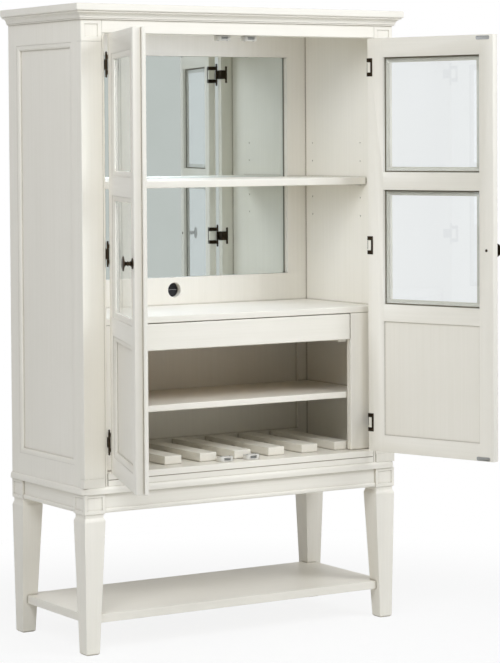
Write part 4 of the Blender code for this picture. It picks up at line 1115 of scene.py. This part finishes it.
wall = add_plane("studio_wall", FLOOR_SIZE, WALL_PLACE, (pi / 2, 0, 0))
wall.data.materials.append(grey_wall())
for ray_kind in WALL_HIDDEN_FROM:
    setattr(wall, f"visible_{ray_kind}", False)

world = bpy.data.worlds.new("white_studio")
bpy.context.scene.world = world
world.use_nodes = True
sky = world.node_tree
sky.nodes.clear()
strength = add_node(sky, "MapRange", (seen_directly(sky), *WHOLE, AMBIENT, 1.0)).outputs[0]
backdrop = add_node(sky, "Background", {"Color": WHITE, "Strength": strength}).outputs[0]
add_node(sky, "OutputWorld", {"Surface": backdrop})
print("Background white, ambient light", AMBIENT)

# %% [markdown]
# Two large soft boxes stand in front. The right one reaches through the panes of the left door, and the left
# one reaches the right door and the right wall of the case. A weak third one fills the left side. A deep
# cabinet swallows light, so two thin lamps lie hidden under the top and under the shelf, as a photographer
# would tape them there. Neither the camera nor the mirror sees those. A soft box's power follows from how
# bright it should make a white card that faces it, because at a distance d it lights a card by its power
# over pi squared and d squared.

# %% Lamps
CABINET_MIDDLE = Vector((0, 0.2, 1.0))
LAMP_WHITE = "#F4F8FF"
BAY_WHITE = "#DBE6FF"
RIGHT_BOX = {"name": "right_softbox", "side": 30, "height": 31, "distance": 4.5, "size": 2.2, "card": 0.50}
LEFT_BOX = {"name": "left_softbox", "side": -45, "height": 36, "distance": 4.5, "size": 2.2, "card": 0.46}
SIDE_BOX = {"name": "side_softbox", "side": -100, "height": 15, "distance": 4.5, "size": 2.4, "card": 0.08}
BAY_LAMP = (0.70, 0.20)
UPPER_BAY = {"name": "upper_bay_lamp", "place": (-0.08, 0.17, 1.745), "tilt": 0.3, "power": 1.0}
LOWER_BAY = {"name": "lower_bay_lamp", "place": (-0.03, 0.24, 1.300), "tilt": 0, "power": 0.94}


def add_lamp(name, place, towards, size, power, tint):
    """A rectangular soft lamp that shines away from a direction."""
    data = bpy.data.lights.new(name, "AREA")
    data.shape = "RECTANGLE"
    data.size, data.size_y = size
    data.color = colour(tint)[:3]
    data.energy = power
    lamp = bpy.data.objects.new(name, data)
    lamp.location = place
    lamp.rotation_euler = towards.to_track_quat("Z", "Y").to_euler()
    bpy.context.scene.collection.objects.link(lamp)
    print(name, round(power, 1), "W")
    return lamp


def add_softbox(name, side, height, distance, size, card):
    """A square soft box, so many degrees to the right of the front and above the floor."""
    bearing, climb = radians(side), radians(height)
    towards = Vector((sin(bearing) * cos(climb), -cos(bearing) * cos(climb), sin(climb)))
    power = card * pi ** 2 * distance ** 2
    add_lamp(name, CABINET_MIDDLE + towards * distance, towards, (size, size), power, LAMP_WHITE)


def add_bay_lamp(name, place, tilt, power):
    """A flat lamp that shines down and back inside the case, hidden from the camera and from the mirror."""
    lamp = add_lamp(name, place, Vector((0, -tilt, 1)), BAY_LAMP, power, BAY_WHITE)
    lamp.visible_camera = False
    lamp.visible_glossy = False


for plan in (RIGHT_BOX, LEFT_BOX, SIDE_BOX):
    add_softbox(**plan)
for plan in (UPPER_BAY, LOWER_BAY):
    add_bay_lamp(**plan)
